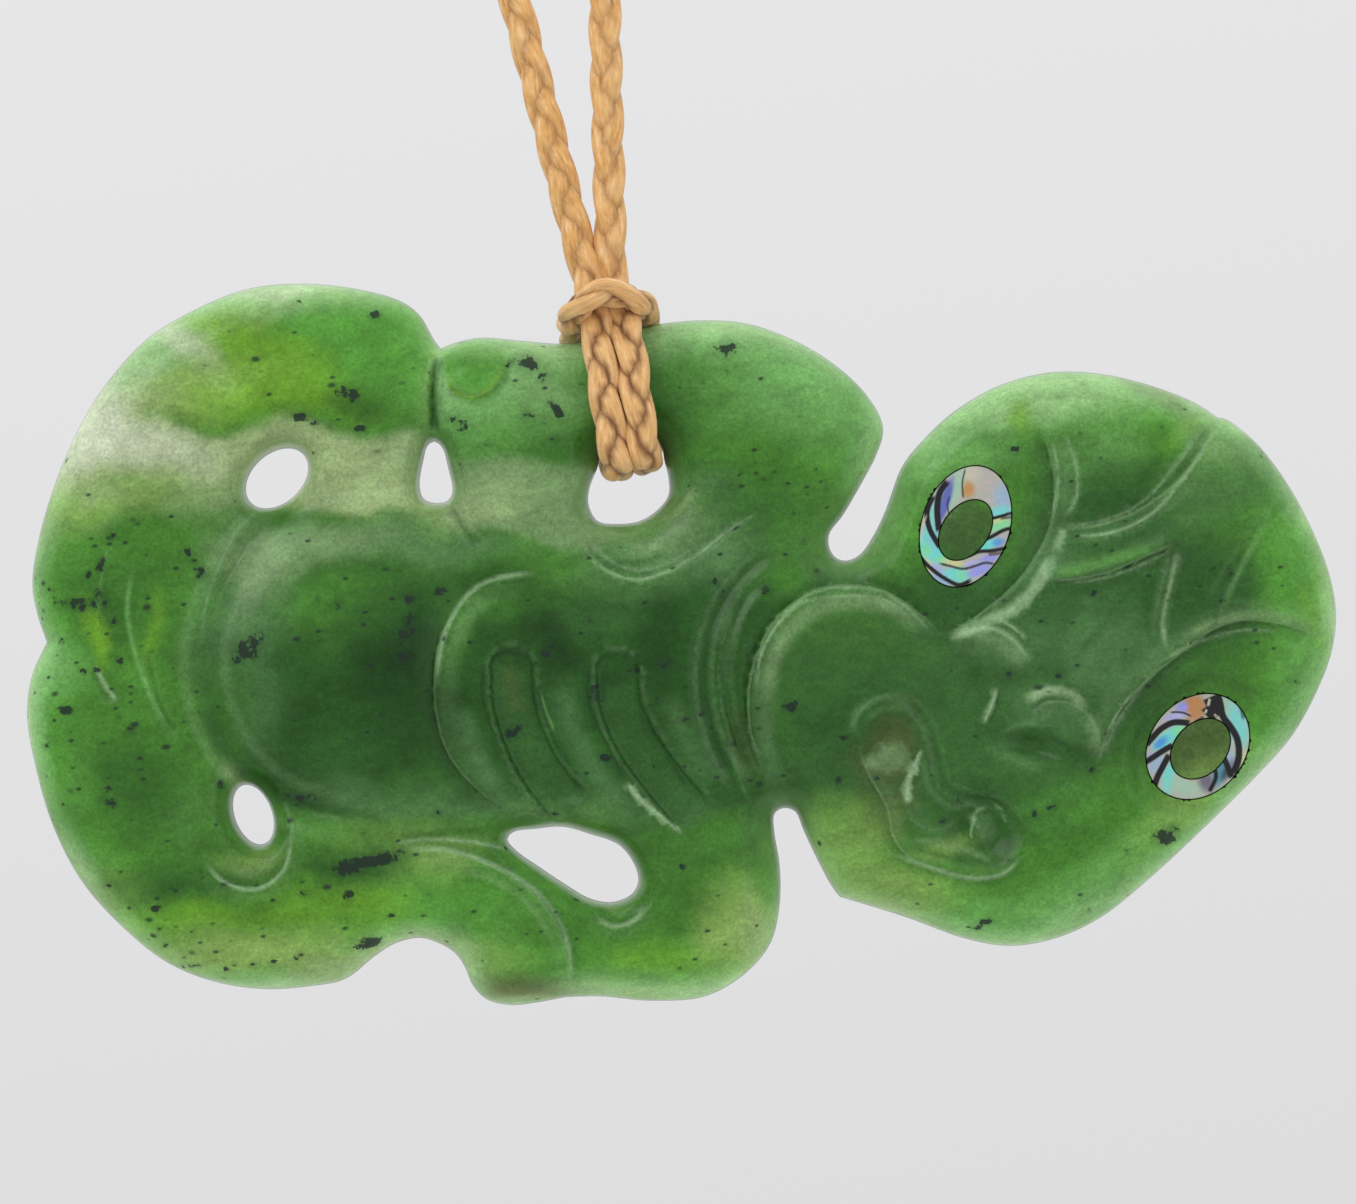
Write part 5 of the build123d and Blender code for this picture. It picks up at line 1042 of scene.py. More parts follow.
def patch_share(carving, patch, points):
    """How much a patch covers each point."""
    return 1 - soft_step(oval_reach(carving, patch, points), 1 - patch.soft, 1 + patch.soft)


def lay(colour, settings, tone, amount):
    """Lays a tone over the colours, by an amount for each."""
    colour += (np.array(getattr(settings, tone)) - colour) * amount[:, None]


def painted(carving, settings, points, colour, washes, patches, strokes, warp):
    """The colour at each point, laid over the first one from tables of washes, patches and strokes."""
    broad, fine = wandering(points, 0.004, 3.7) * 0.0012, wandering(points, 0.0012, 8.1) * 0.0003
    shifted = points + (broad + fine) * warp
    for tone, strength, soft, loop in washes:
        edge, width = carving.photo_line(loop, 0.001, closed=True), soft * carving.pixel
        apart = nearest_on(shifted, edge, closed=True, reach=width)[0]
        signed = np.where(inside(shifted, edge), apart, -apart)
        lay(colour, settings, tone, strength * soft_step(signed, -width, width))
    for patch in patches:
        lay(colour, settings, patch.tone, patch.strength * patch_share(carving, patch, shifted))
    for stroke in strokes:
        line, width = carving.photo_line(stroke.route, 0.0002), stroke.half_width * carving.pixel
        apart, _, way = nearest_on(points, line, reach=width)
        ends = soft_step(np.minimum(way, 1 - way), 0.0, 0.2 * stroke.soft + 0.001)
        beside = soft_step(1 - apart / width, 0, stroke.soft)
        lay(colour, settings, stroke.tone, stroke.strength * ends * beside)
    return colour


def hump(value, middle, half):
    """A round hump of height 1 at the middle, down to 0 at half its width."""
    return np.clip(1 - ((value - middle) / half) ** 2, 0, 1)


def relief_tones(carving, settings, points, colour):
    """Lays the light and shade of the carved lines over the colour at each point."""
    for name, (kind, side, width, depth, _) in carved_lines.items():
        wide = width * settings.line_width
        apart, hand, way = nearest_on(points, carving.lines[name], reach=wide * 1.3)
        ends = 1 - way if kind == "slot" else np.minimum(way, 1 - way)
        strength = depth * min(1.0, 1.2 / width) * soft_step(ends, 0, 0.15)
        across = np.where(np.isfinite(apart), np.minimum(apart, 1.0) * hand * side, 1.0)
        aside = np.abs(across)
        layers = {
            "edge": (("deep", 0.7, hump(across, -0.3 * wide, 0.3 * wide)),
                     ("pale", 0.8, hump(across, 0, carving.edge_bevel)),
                     ("pale", 0.2, hump(across, 0.4 * wide, 0.4 * wide))),
            "cut": (("deep", 0.7, hump(across, 0, 0.4 * wide)),
                    ("pale", 0.3, hump(aside, 0.5 * wide, 0.15 * wide))),
            "slot": (("deep", 1.6, hump(aside, 0.88 * wide, 0.0003)),
                     ("dark", 0.8, hump(aside, 0.94 * wide, 0.00014)),
                     ("pale", 0.3, hump(aside, 1.06 * wide, 0.00012))),
        }
        for tone, most, amount in layers[kind]:
            lay(colour, settings, tone, most * strength * amount)


def speck_points(carving):
    """Close points over each dark speck, so that it has a clear edge."""
    rows = []
    for speck in stone_specks:
        middle = carving.from_photo(speck.across, speck.down)
        for share in (0.0, 0.4, 0.8, 1.2):
            a, b = speck.half_long * carving.pixel * share, speck.half_short * carving.pixel * share
            count = max(1, round(math.pi * (a + b) / 0.00015))
            turn = np.linspace(0, 2 * math.pi, count, endpoint=False)
            rows.append(middle + round_oval(a, b, speck.lean, turn))
    return np.vstack(rows)


def stroke_points(carving):
    """Rows of points along each thin stroke and beside it, so that it has a clear edge."""
    rows = []
    for stroke in stone_strokes_with_light_and_shade:
        if stroke.half_width <= carving.thin_stroke:
            line = carving.photo_line(stroke.route, 0.00022)
            aside = left_of(line) * stroke.half_width * carving.pixel
            rows += [line + aside * share for share in (0.0, 0.6, -0.6, 1.1, -1.1)]
    return np.vstack(rows)


def stone_specking(carving, points):
    """How dark the specks make the stone at each point."""
    dark = np.zeros(len(points))
    for speck in stone_specks:
        dark = np.maximum(dark, speck.strength * np.clip(1.4 - oval_reach(carving, speck, points), 0, 1))
    return dark


class Nodes:
    """A material's node tree, with short ways to add and join its nodes."""

    def __init__(self, name):
        self.material = bpy.data.materials.new(name)
        self.material.use_nodes = True
        self.tree = self.material.node_tree

    def feed(self, node, inputs):
        """Joins a node's inputs to sockets, or sets them."""
        for key, value in dict(inputs).items():
            if isinstance(value, bpy.types.NodeSocket):
                self.tree.links.new(value, node.inputs[key])
            else:
                node.inputs[key].default_value = value

    def add(self, kind, inputs=(), **values):
        """A node with its values set and its inputs fed."""
        node = self.tree.nodes.new("ShaderNode" + kind)
        for key, value in values.items():
            setattr(node, key, value)
        self.feed(node, inputs)
        return node

    def attribute(self, name, output="Fac"):
        """What a piece's points hold under a name."""
        return self.add("Attribute", attribute_name=name).outputs[output]

    def mapped(self, vector, scale, rotation=(0.0, 0.0, 0.0)):
        """A place, scaled and turned."""
        return self.add("Mapping", {"Vector": vector, "Rotation": rotation, "Scale": scale}).outputs[0]

    def noise_at(self, vector, scale, detail=2.0, roughness=0.5, distortion=0.0):
        """Noise between 0 and 1 at a place."""
        return self.add("TexNoise", {"Vector": vector, "Scale": scale, "Detail": detail,
                                     "Roughness": roughness, "Distortion": distortion}).outputs[0]

    def math(self, operation, first, second=0.0):
        """The result of an arithmetic node."""
        return self.add("Math", {0: first, 1: second}, operation=operation).outputs[0]

    def mix(self, amount, first, second, blend="MIX"):
        """Two colours mixed."""
        inputs = {0: amount, 6: first, 7: second}
        return self.add("Mix", inputs, data_type="RGBA", blend_type=blend).outputs[2]

    def ramp(self, factor, stops):
        """A colour ramp with stops of place and colour or grey."""
        node = self.add("ValToRGB", {0: factor})
        elements = node.color_ramp.elements
        while len(elements) > 1:
            elements.remove(elements[-1])
        for index, (place, colour) in enumerate(stops):
            element = elements[0] if index == 0 else elements.new(place)
            element.position = place
            element.color = (colour,) * 3 + (1,) if isinstance(colour, (int, float)) else (*colour, 1)
        return node.outputs[0]

    def bump(self, strength, distance, height):
        """The surface's direction, where it stands out by a height."""
        inputs = {"Strength": strength, "Distance": distance, "Height": height}
        return self.add("Bump", inputs).outputs[0]

    def shaded(self, inputs):
        """The material, with its shader's inputs fed."""
        self.feed(self.tree.nodes["Principled BSDF"], inputs)
        return self.material


def greenstone_material():
    """Polished, slightly translucent greenstone with clouds, fibres and dark specks."""
    n = Nodes("greenstone")
    place = n.add("TexCoord").outputs["Object"]
    speck, thin, flecked = n.attribute("speck"), n.attribute("thin"), n.attribute("flecked")
    streak_place = n.mapped(place, (0.6, 1.0, 1.0))
    cloud = n.noise_at(streak_place, 300.0, 6.0, 0.65, 0.4)
    wisp = n.noise_at(streak_place, 1100.0, 5.0, 0.7, 0.9)
    grain = n.noise_at(place, 4200.0, 3.0, 0.8)
    colour = n.attribute("stone_tone", "Color")
    for texture, stops in ((cloud, ((0.3, 0.8), (0.5, 1.0), (0.7, 1.2))),
                           (wisp, ((0.3, 0.82), (0.5, 1.0), (0.7, 1.2))),
                           (grain, ((0.3, 0.76), (0.7, 1.26)))):
        colour = n.mix(1.0, colour, n.ramp(texture, stops), "MULTIPLY")
    # Painted light: where the stone is thin, near its outline and holes, it is lightened as if light came
    # through it; right at the edge it is darkened in a thin line
    edge = n.mix(1.0, colour, (0.07, 0.11, 0.05, 1), "ADD")
    colour = n.mix(n.ramp(thin, ((0.45, 0.0), (0.85, 0.8))), colour, edge)
    colour = n.mix(n.ramp(thin, ((0.95, 0.0), (0.985, 0.3))), colour, (0.04, 0.06, 0.03, 1))
    colour = n.mix(n.math("MULTIPLY", speck, 0.45), colour, (0.012, 0.04, 0.012, 1))
    ragged = n.noise_at(place, 1700.0, 4.0, 0.65)
    torn = n.math("MULTIPLY", n.math("SUBTRACT", ragged, 0.5), 2.6)
    torn = n.math("MULTIPLY", torn, n.ramp(speck, ((0.05, 0.0), (0.3, 1.0))))
    dark = n.ramp(n.math("ADD", speck, torn), ((0.52, 0.0), (0.66, 0.9)))
    for scale, most in ((700.0, 0.12), (1500.0, 0.16)):
        flecks = n.add("TexVoronoi", {"Vector": streak_place, "Scale": scale, "Randomness": 1.0})
        picked = n.add("SeparateColor", {0: flecks.outputs["Color"]}).outputs[0]
        least = n.math("SUBTRACT", 0.97, n.math("MULTIPLY", flecked, 0.42))
        chosen = n.math("GREATER_THAN", picked, least)
        fleck = n.ramp(flecks.outputs["Distance"], ((most * 0.6, 0.85), (most * 1.6, 0.0)))
        dark = n.math("MAXIMUM", dark, n.math("MULTIPLY", fleck, chosen))
    return n.shaded({
        "Base Color": n.mix(dark, colour, (0.012, 0.022, 0.016, 1)),
        "Roughness": 0.22,
        "Specular IOR Level": 0.16,
        "Subsurface Weight": 0.2,
        "Subsurface Radius": (0.6, 1.0, 0.4),
        "Subsurface Scale": 0.0012,
        "Normal": n.bump(0.1, 0.0002, n.noise_at(place, 420.0, 3.0)),
    })


def shell_material():
    """Polished shell with a fine shimmer in its layers."""
    n = Nodes("shell")
    fine = n.noise_at(n.add("TexCoord").outputs["Object"], 3200.0, 4.0, 0.7, 0.8)
    shimmer = n.ramp(fine, ((0.3, (0.35, 0.55, 0.5)), (0.5, (0.5, 0.5, 0.5)), (0.68, (0.6, 0.52, 0.66))))
    return n.shaded({
        "Base Color": n.mix(0.75, n.attribute("shell_tone", "Color"), shimmer, "OVERLAY"),
        "Roughness": 0.14,
        "Specular IOR Level": 0.3,
        "Normal": n.bump(0.1, 0.0001, fine),
    })


def cord_material(settings):
    """Waxed plaiting cord: fine threads along each strand, with painted shade in the folds between strands,
    and stronger painted light and shade on the legs.
    """
    n = Nodes("waxed_cord")
    uv = n.add("UVMap", uv_map="strand").outputs[0]
    fold_shade, leg_light_and_shade = n.attribute("fold_shade"), n.attribute("leg_light_and_shade")
    threads = n.noise_at(n.mapped(uv, (15.0, 0.7, 1.0), (0.0, 0.0, math.radians(6))), 1.0, 5.0, 0.7)
    patches = n.noise_at(n.mapped(uv, (2.0, 0.7, 1.0)), 1.0, 3.0)
    tan, shade = (*settings.tan, 1), (*settings.shade, 1)
    colour = n.mix(n.ramp(threads, ((0.32, 0.55), (0.5, 0.0))), tan, shade)
    colour = n.mix(n.ramp(threads, ((0.52, 0.0), (0.7, 0.75))), colour, (0.88, 0.66, 0.4, 1))
    colour = n.mix(n.ramp(patches, ((0.45, 0.0), (0.7, 0.4))), colour, (0.8, 0.54, 0.26, 1))
    # The legs under the lark's head get a painted highlight, and the painted shade in their folds is deepest
    # there
    colour = n.mix(n.math("MULTIPLY", leg_light_and_shade, 0.12), colour, (0.86, 0.6, 0.34, 1))
    darker = n.math("ADD", 0.42, n.math("MULTIPLY", leg_light_and_shade, 0.58))
    return n.shaded({
        "Base Color": n.mix(n.math("MULTIPLY", fold_shade, darker), colour, shade),
        "Roughness": 0.55,
        "Sheen Weight": 0.15,
        "Normal": n.bump(0.7, 0.00012, threads),
    })


def new_piece(name, vertices, faces):
    """A mesh object at the origin."""
    mesh = bpy.data.meshes.new(name)
    mesh.from_pydata([tuple(v) for v in vertices], [], [tuple(map(int, f)) for f in faces])
    mesh.validate()
    piece = bpy.data.objects.new(name, mesh)
    bpy.context.scene.collection.objects.link(piece)
    return piece


def select_only(piece):
    """Selects one object and makes it the active one."""
    bpy.ops.object.select_all(action="DESELECT")
    piece.select_set(True)
    bpy.context.view_layer.objects.active = piece


def point_attribute(piece, name, values):
    """A number at each point of a piece."""
    layer = piece.data.attributes.new(name, "FLOAT", "POINT")
    layer.data.foreach_set("value", np.asarray(values, dtype=np.float32))


def tone_attribute(piece, name, tones):
    """A colour at each point of a piece."""
    layer = piece.data.color_attributes.new(name, "FLOAT_COLOR", "POINT")
    layer.data.foreach_set("color", np.column_stack([tones, np.ones(len(tones))]).astype(np.float32).ravel())


def strand_map(piece, uvs):
    """The UV map along the strands, from a place for each point of a piece."""
    layer = piece.data.uv_layers.new(name="strand")
    loops = np.zeros(len(piece.data.loops), dtype=np.int32)
    piece.data.loops.foreach_get("vertex_index", loops)
    layer.data.foreach_set("uv", np.asarray(uvs, dtype=np.float32)[loops].ravel())


class TIKI_OT_greenstone_figure(bpy.types.Operator):
    """Carve the greenstone figure"""

    bl_idname = "tiki.greenstone_figure"
    bl_label = "Greenstone figure"

    # How much of the specks' darkness the back has
    back_specks = 0.7

    def execute(self, context):
        settings = context.scene.tiki_carving
        carving = Carving(settings, context.scene.tiki_shell)
        boundary = np.vstack([loop for loop, _ in carving.loops])
        rim_count = len(boundary)
        edges, start = [], 0
        for loop, _ in carving.loops:
            edges += [(start + i, start + (i + 1) % len(loop)) for i in range(len(loop))]
            start += len(loop)
        recesses = [carving.recess(name) for name in eye_rings]
        fixed = np.vstack([boundary] + [points for points, _ in recesses])
        rows = (carving.line_rows(), stroke_points(carving), speck_points(carving))
        field = carving.in_stone(carving.field(settings.fineness), carving.field_depth)
        rows = [carving.in_stone(row, carving.row_depth) for row in rows]
        more = np.vstack([carving.rim_rows(carving.front_rows), *rows, field])
        for outer, pupil in eye_rings.values():
            more = more[(carving.oval_share(more, outer) > carving.ring_outside)
                        | (carving.oval_share(more, pupil) < carving.pupil_inside)]
        front_points = thinned(fixed, more, settings.fineness * carving.front_apart)
        front_heights = carving.front(front_points)
        front_heights[:rim_count] = 0
        front_heights[rim_count:len(fixed)] = np.concatenate([heights for _, heights in recesses])
        back_field = carving.field(settings.fineness * carving.back_coarseness)
        back_field = carving.in_stone(back_field, carving.back_field_depth)
        back_more = np.vstack([carving.rim_rows(carving.back_rows), back_field])
        back_points = thinned(boundary, back_more, settings.fineness * carving.back_apart)
        back_heights = -carving.plain(back_points, settings.back)[0]
        front_faces = triangles(carving, front_points, edges).tolist()
        back_faces = triangles(carving, back_points, edges).tolist()
        # A triangle between points of the rim alone, on both faces, would be a fin without thickness
        flat = {frozenset(f) for f in front_faces if max(f) < rim_count}
        flat &= {frozenset(f) for f in back_faces if max(f) < rim_count}
        shift = len(front_points) - rim_count
        faces = [f for f in front_faces if frozenset(f) not in flat]
        faces += [[i if i < rim_count else i + shift for i in f][::-1]
                  for f in back_faces if frozenset(f) not in flat]
        plan = np.vstack([front_points, back_points[rim_count:]])
        out = np.concatenate([front_heights, back_heights[rim_count:]])
        if not np.isfinite(out).all():
            raise RuntimeError("a height of the carved face is missing")
        figure = new_piece("greenstone_figure", carving.hung(plan[:, 0], plan[:, 1], out), faces)
        face, rest = plan[:len(front_points)], plan[len(front_points):]
        clouds = [patch for patch in stone_patches if patch.half_short >= carving.cloud_width]
        tones = [painted(carving, settings, points, rim_light(carving, settings, points), stone_washes,
                         patches, strokes, 1.0)
                 for points, patches, strokes in ((face, stone_patches, stone_strokes_with_light_and_shade), (rest, clouds, ()))]
        relief_tones(carving, settings, face, tones[0])
        tone_attribute(figure, "stone_tone", np.vstack(tones))
        seen = np.repeat((1.0, self.back_specks), (len(face), len(rest)))
        point_attribute(figure, "speck", stone_specking(carving, plan) * seen)
        # How near each point lies to the outline or a hole, which the stone's material uses for its painted
        # light through the thin rim
        point_attribute(figure, "thin", 1 - np.clip(carving.edge_share(plan)[1], 0, 1))
        flecked = [patch.strength * patch_share(carving, patch, plan) for patch in fleck_patches]
        point_attribute(figure, "flecked", np.max(flecked, axis=0))
        figure.data.materials.append(greenstone_material())
        select_only(figure)
        bpy.ops.object.shade_smooth_by_angle(angle=math.radians(75))
        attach(figure, "root")
        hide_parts("pendant")
        return {"FINISHED"}


def oval_circle(carving, oval, out, count):
    """A circle drawn out to an oval of the figure, lying flat at a height."""
    x, y = carving.place((oval.along, oval.up))
    share = carving.carving.length / 100
    bpy.ops.object.select_all(action="DESELECT")
    bpy.ops.mesh.primitive_circle_add(vertices=count, radius=1, location=(x, y, out),
                                      rotation=(0, 0, math.radians(oval.lean)))
    circle = bpy.context.active_object
    circle.scale = (oval.half_long * share, oval.half_short * share, 1)
    bpy.ops.object.transform_apply(location=True, rotation=True, scale=True)
    return circle


class TIKI_OT_shell_rings(bpy.types.Operator):
    """Inlay the two shell rings round the eyes"""

    bl_idname = "tiki.shell_rings"
    bl_label = "Shell rings"

    # How far a ring's face lies under its seat, how its edges are rounded, and its points for each of a
    # recess
    below_seat = 0.00001
    edge_round = 0.00006
    finer = 4

    def execute(self, context):
        settings = context.scene.tiki_shell
        carving = Carving(context.scene.tiki_carving, settings)
        material = shell_material()
        for name, (outer, pupil) in eye_rings.items():
            top = carving.seats[name] - self.below_seat
            inner_edge = oval_circle(carving, pupil, top, settings.steps * self.finer)
            ring = oval_circle(carving, outer, top, settings.steps * self.finer)
            inner_edge.select_set(True)
            bpy.ops.object.join()
            ring.name = "shell_ring_" + name
            bpy.ops.object.mode_set(mode="EDIT")
            bpy.ops.mesh.select_all(action="SELECT")
            bpy.ops.mesh.bridge_edge_loops(number_cuts=settings.rows, interpolation="LINEAR")
            bpy.ops.mesh.select_all(action="SELECT")
            bpy.ops.mesh.normals_make_consistent(inside=False)
            bpy.ops.object.mode_set(mode="OBJECT")
            if ring.data.polygons[0].normal.z < 0:
                ring.data.flip_normals()
            thick = ring.modifiers.new("thickness", "SOLIDIFY")
            thick.thickness = settings.thickness
            thick.offset = -1
            round_off = ring.modifiers.new("round", "BEVEL")
            round_off.width = self.edge_round
            round_off.segments = 2
            round_off.limit_method = "ANGLE"
            bpy.ops.object.modifier_apply(modifier=thick.name)
            bpy.ops.object.modifier_apply(modifier=round_off.name)
            places = np.zeros(len(ring.data.vertices) * 3)
            ring.data.vertices.foreach_get("co", places)
            places = places.reshape(-1, 3)
            pearl = np.tile(np.array(settings.pearl), (len(places), 1))
            tones = painted(carving, settings, places[:, :2], pearl, (), shell_patches, shell_strokes, 0.06)
            tone_attribute(ring, "shell_tone", tones)
            ring.data.vertices.foreach_set("co", carving.hung(*places.T).ravel())
            ring.data.update()
            ring.data.materials.append(material)
            select_only(ring)
            bpy.ops.object.shade_smooth_by_angle(angle=math.radians(40))
            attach(ring, "root")
            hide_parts("eye_ring_" + name)
        return {"FINISHED"}


def smooth_route(points):
    """The smooth line of a route, read from its spline."""
    curve = bpy.data.curves.new("route", "CURVE")
    curve.dimensions = "3D"
    spline = curve.splines.new("NURBS")
    spline.points.add(len(points) - 1)
    for knot, point in zip(spline.points, points):
        knot.co = (*point, 1)
    spline.order_u = 3
    spline.use_endpoint_u = True
    spline.resolution_u = 32
    holder = bpy.data.objects.new("route", curve)
    bpy.context.scene.collection.objects.link(holder)
    mesh = bpy.data.meshes.new_from_object(holder)
    line = np.array([tuple(v.co) for v in mesh.vertices])
    bpy.data.objects.remove(holder)
    bpy.data.curves.remove(curve)
    bpy.data.meshes.remove(mesh)
    return line


def carried_frames(line, facing):
    """Two directions across a line at each of its points, that turn as little as they can."""
    tangents = unit(np.gradient(line, axis=0))
    normal = facing - tangents[0] * np.dot(facing, tangents[0])
    normals = []
    for tangent in tangents:
        normal = normal - tangent * np.dot(normal, tangent)
        normal = normal / np.linalg.norm(normal)
        normals.append(normal)
    normals = np.array(normals)
    return normals, np.cross(tangents, normals)


def strand_tube(centre, normals, half_wide, half_thick, sides):
    """The points of a closed tube of oval section, and its faces."""
    tangents = unit(np.gradient(centre, axis=0))
    up = unit(normals - tangents * (normals * tangents).sum(axis=1)[:, None])
    across = np.cross(tangents, up)
    turn = np.linspace(0, 2 * math.pi, sides, endpoint=False)
    wide = np.broadcast_to(half_wide, len(centre))[:, None]
    rings = (centre[:, None] + across[:, None] * (wide * np.cos(turn))[..., None]
             + up[:, None] * (half_thick * np.sin(turn))[None, :, None])
    points = rings.reshape(-1, 3)
    faces = []
    for row in range(len(centre) - 1):
        for side in range(sides):
            a, b = row * sides + side, row * sides + (side + 1) % sides
            faces.append((a, a + sides, b + sides, b))
    faces.append(tuple(range(sides)))
    faces.append(tuple((len(centre) - 1) * sides + side for side in reversed(range(sides))))
    return points, faces


def tube_map(along, sides):
    """A place for each point of a tube: round it, and how far along."""
    return np.column_stack([np.tile(np.arange(sides) / sides, len(along)), np.repeat(along, sides)])


def joined(tubes):
    """The points and the faces of several tubes, as one."""
    faces, shift = [], 0
    for points, tube in tubes:
        faces += [tuple(i + shift for i in face) for face in tube]
        shift += len(points)
    return np.vstack([points for points, _ in tubes]), faces


class TIKI_OT_plaited_cord(bpy.types.Operator):
    """Plait the cord, from the closing knot down, round the arm and up again"""

    bl_idname = "tiki.plaited_cord"
    bl_label = "Plaited cord"

    # Shares of the plait's width: half a strand's width and thickness, how far it sways and how far it lifts,
    # and how near another strand lies where its fold has full painted shade and where it has none
    half_wide, half_thick, sway, lift = 0.34, 0.26, 0.2, 0.17
    fold_near, fold_far = 0.32, 0.48
    # The bight in front of the strands, in millimetres from the lark's head, how much wider the plait is
    # there, and from how far off it is so fully and not at all
    bight = (0.2, -5.0, 0.0)
    bight_fuller = 0.34
    bight_near, bight_far = 0.0014, 0.0032
    # Between which depths under the lark's head the plait becomes tight and its painted light and shade
    # stronger, in millimetres
    tight_from, tight_to = -2.5, 0.5
    # Points along one pitch and round a strand, and how far the strands' fibres are shifted, in millimetres
    pitch_points = 22
    sides = 16
    fibre_shift = 37

    def execute(self, context):
        settings = context.scene.tiki_cord
        left = [(-x, y, z) for x, y, z in reversed(strand_route)]
        head = [(x, y, z + lark_head_height) for x, y, z in lark_head_route]
        route = np.array(left + head + list(strand_route)) / 1000
        line, at = even_line(smooth_route([tuple(p) for p in route]), settings.pitch / self.pitch_points)
        normals, across = carried_frames(line, np.array((0.0, -1.0, 0.0)))
        bight = (np.array(self.bight) + (0, 0, lark_head_height)) / 1000
        away = np.linalg.norm(line - bight, axis=1)
        full = 1 + self.bight_fuller * (1 - soft_step(away, self.bight_near, self.bight_far))
        runs = []
        for strand in range(3):
            phase = at / settings.pitch * 2 * math.pi + strand * 2 * math.pi / 3
            runs.append(line + across * (settings.diameter * self.sway * full * np.sin(phase))[:, None]
                        + normals * (settings.diameter * self.lift * np.sin(2 * phase))[:, None])
        tubes, fold_shades, uvs = [], [], []
        for strand, run in enumerate(runs):
            tubes.append(strand_tube(run, normals, settings.diameter * self.half_wide * full,
                                     settings.diameter * self.half_thick, self.sides))
            away = np.min([np.linalg.norm(tubes[-1][0] - np.repeat(other, self.sides, axis=0), axis=1)
                           for other in runs if other is not run], axis=0)
            near, far = settings.diameter * self.fold_near, settings.diameter * self.fold_far
            fold_shades.append(1 - soft_step(away, near, far))
            uvs.append(tube_map(at * 1000 + strand * self.fibre_shift, self.sides))
        cord = new_piece("plaited_cord", *joined(tubes))
        point_attribute(cord, "fold_shade", np.concatenate(fold_shades))
        low = soft_step(-line[:, 2] * 1000 + lark_head_height, self.tight_from, self.tight_to)
        point_attribute(cord, "leg_light_and_shade", np.tile(np.repeat(low, self.sides), 3))
        strand_map(cord, np.vstack(uvs))
        cord.data.materials.append(cord_material(settings))
        select_only(cord)
        bpy.ops.object.shade_smooth()
        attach(cord, "root")
        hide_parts("hitch", "cord_left", "cord_right")
        return {"FINISHED"}


class TIKI_OT_closing_knot(bpy.types.Operator):
    """Wind the closing knot at the top of the ring of cord"""

    bl_idname = "tiki.closing_knot"
    bl_label = "Closing knot"

    # The thread that is wound round the core: half its thickness, its turns, how much lower its ends
    # lie, and the points along one turn and round it
    half_thread = 0.00058
    turns = 6
    end_drop = 0.00035
    turn_points, sides = 40, 12
    # The core's length as a share of the knot's, and the points along it and round it
    core_share = 0.93
    core_points, core_sides = 24, 24

    def execute(self, context):
        settings = context.scene.tiki_cord
        low, high = np.array(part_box("cord_knot"))
        middle, half, radius = (low + high) / 2, (high[0] - low[0]) / 2, (high[2] - low[2]) / 2
        turn = np.linspace(0, self.turns * 2 * math.pi, self.turns * self.turn_points)
        reach = np.linspace(-half + self.half_thread, half - self.half_thread, len(turn))
        swell = radius - self.half_thread - self.end_drop * (reach / half) ** 4
        outward = np.column_stack([0 * turn, swell * np.cos(turn), swell * np.sin(turn)])
        coil = middle + outward + np.column_stack([reach, 0 * turn, 0 * turn])
        core_half, core_radius = half * self.core_share, radius - self.half_thread
        core = middle + np.linspace(-core_half, core_half, self.core_points)[:, None] * (1, 0, 0)
        upward = np.tile((0.0, 0.0, 1.0), (self.core_points, 1))
        tubes = [strand_tube(coil, outward, self.half_thread, self.half_thread, self.sides),
                 strand_tube(core, upward, core_radius, core_radius, self.core_sides)]
        knot = new_piece("closing_knot", *joined(tubes))
        # The core, seen only between the thread's turns, has the painted shade of a fold all over
        point_attribute(knot, "fold_shade", np.repeat((0.0, 1.0), [len(points) for points, _ in tubes]))
        point_attribute(knot, "leg_light_and_shade", np.zeros(len(knot.data.vertices)))
        strand_map(knot, np.vstack([tube_map(turn * swell * 1000, self.sides),
                                    tube_map(core[:, 0] * 1000, self.core_sides)]))
        knot.data.materials.append(bpy.data.materials.get("waxed_cord") or cord_material(settings))
        select_only(knot)
        bpy.ops.object.shade_smooth_by_angle(angle=math.radians(60))
        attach(knot, "root")
        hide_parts("cord_knot")
        return {"FINISHED"}


def soft_light(name, place, target, size, power):
    """A square soft light that looks at a target."""
    light = bpy.data.lights.new(name, "AREA")
    light.size = size
    light.energy = power
    holder = bpy.data.objects.new(name, light)
    holder.location = place
    holder.rotation_euler = (Vector(target) - Vector(place)).to_track_quat("-Z", "Y").to_euler()
    bpy.context.scene.collection.objects.link(holder)


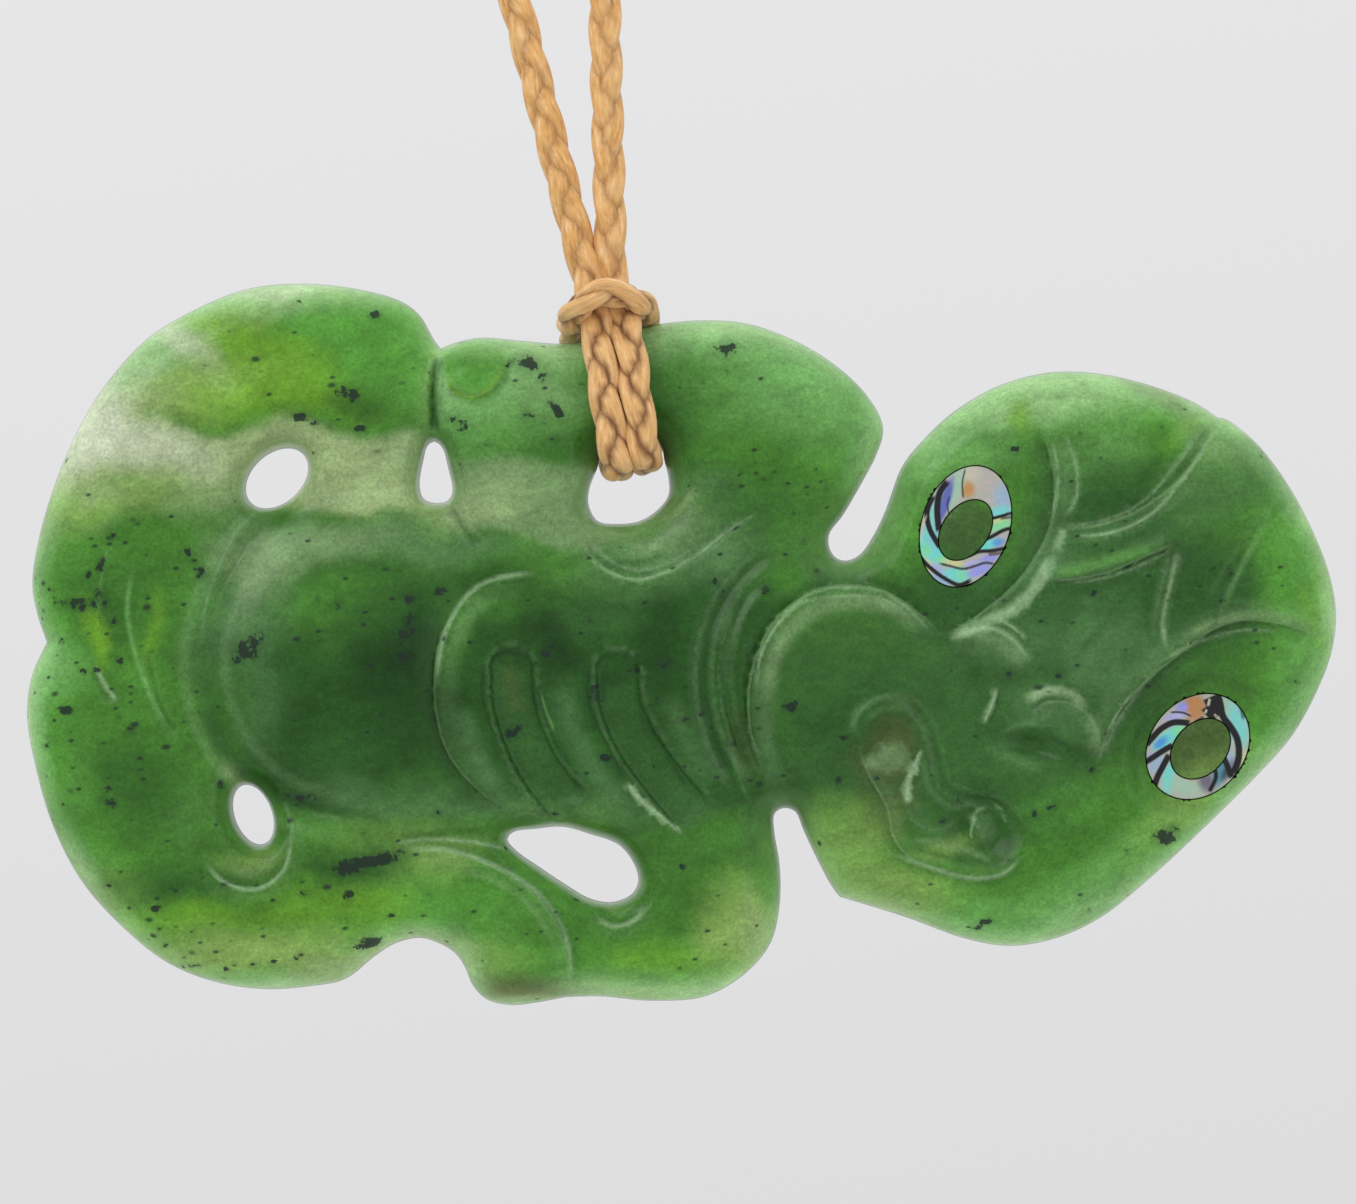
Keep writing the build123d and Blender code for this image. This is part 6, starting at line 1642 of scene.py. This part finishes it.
class TIKI_OT_stage(bpy.types.Operator):
    """Set the pale floor, the surroundings, the soft light and the camera"""

    bl_idname = "tiki.stage"
    bl_label = "Stage"

    def execute(self, context):
        settings = context.scene.tiki_stage
        scene = context.scene
        carving = Carving(scene.tiki_carving, scene.tiki_shell)
        scene.view_settings.view_transform = "Standard"
        world = bpy.data.worlds.new("studio")
        world.use_nodes = True
        tree = world.node_tree
        toward = tree.nodes.new("ShaderNodeTexCoord")
        parts = tree.nodes.new("ShaderNodeSeparateXYZ")
        rise = tree.nodes.new("ShaderNodeMapRange")
        for name, value in zip(("From Min", "From Max", "To Min", "To Max"), (-0.9, 0.9, 0.45, 1.55)):
            rise.inputs[name].default_value = value
        tree.links.new(toward.outputs["Generated"], parts.inputs[0])
        tree.links.new(parts.outputs[2], rise.inputs[0])
        tree.links.new(rise.outputs[0], tree.nodes["Background"].inputs[1])
        tree.nodes["Background"].inputs[0].default_value = (*settings.backdrop, 1)
        scene.world = world
        bpy.ops.object.select_all(action="DESELECT")
        bpy.ops.mesh.primitive_circle_add(vertices=96, radius=0.7, fill_type="NGON", location=(0, 0, -0.55))
        floor = context.active_object
        floor.name = "floor"
        bpy.ops.object.transform_apply(location=True)
        paper = Nodes("paper")
        grain = paper.noise_at(paper.add("TexCoord").outputs["Object"], 60.0)
        tone = paper.ramp(grain, ((0.3, 0.74), (0.7, 0.78)))
        floor.data.materials.append(paper.shaded({"Base Color": tone, "Roughness": 0.9}))
        x, y = carving.from_photo(*frame_middle)
        target = carving.hung(np.array([x]), np.array([y]), np.array([0.0]))[0]
        soft_light("key", (target[0] - 0.35, -0.5, target[2] + 0.45), target, 0.4, settings.key)
        soft_light("fill", (target[0] + 0.5, -0.45, target[2] + 0.05), target, 0.5, settings.key * 0.4)
        camera = bpy.data.cameras.new("camera")
        holder = bpy.data.objects.new("camera", camera)
        scene.collection.objects.link(holder)
        c, s = math.cos(scene.tiki_carving.tilt), math.sin(scene.tiki_carving.tilt)
        right, up, back = Vector((c, 0, -s)), Vector((s, 0, c)), Vector((0, -1, 0))
        turned = Matrix((right, up, back)).transposed().to_4x4()
        turned.translation = Vector(target) + back * settings.distance
        holder.matrix_world = turned
        camera.sensor_fit = "HORIZONTAL"
        camera.sensor_width = 36.0
        camera.lens = camera.sensor_width * settings.distance / (frame_pixels * carving.pixel)
        camera.clip_start = 0.01
        camera.clip_end = 20.0
        scene.camera = holder
        return {"FINISHED"}


class TIKI_PT_panel(bpy.types.Panel):
    """Lists the pieces of the pendant and their settings"""

    bl_idname = "TIKI_PT_panel"
    bl_label = "Hei tiki pendant"
    bl_space_type = "VIEW_3D"
    bl_region_type = "UI"
    bl_category = "Pendant"

    def draw(self, context):
        for operator, group in steps:
            box = self.layout.box()
            box.operator(operator.bl_idname)
            if group:
                for name in getattr(context.scene, group).__annotations__:
                    box.prop(getattr(context.scene, group), name)


groups = {
    "tiki_carving": CarvingSettings,
    "tiki_shell": ShellSettings,
    "tiki_cord": CordSettings,
    "tiki_stage": StageSettings,
}
steps = (
    (TIKI_OT_greenstone_figure, "tiki_carving"),
    (TIKI_OT_shell_rings, "tiki_shell"),
    (TIKI_OT_plaited_cord, "tiki_cord"),
    (TIKI_OT_closing_knot, ""),
    (TIKI_OT_stage, "tiki_stage"),
)


def register():
    for group in groups.values():
        bpy.utils.register_class(group)
    for operator, _ in steps:
        bpy.utils.register_class(operator)
    bpy.utils.register_class(TIKI_PT_panel)
    for name, group in groups.items():
        setattr(bpy.types.Scene, name, PointerProperty(type=group))


def unregister():
    for name in groups:
        delattr(bpy.types.Scene, name)
    bpy.utils.unregister_class(TIKI_PT_panel)
    for operator, _ in reversed(steps):
        bpy.utils.unregister_class(operator)
    for group in groups.values():
        bpy.utils.unregister_class(group)


def main():
    register()
    bpy.ops.object.select_all(action="DESELECT")
    bpy.ops.tiki.greenstone_figure()
    bpy.ops.tiki.shell_rings()
    bpy.ops.tiki.plaited_cord()
    bpy.ops.tiki.closing_knot()
    bpy.ops.tiki.stage()


if __name__ == "__main__":
    main()
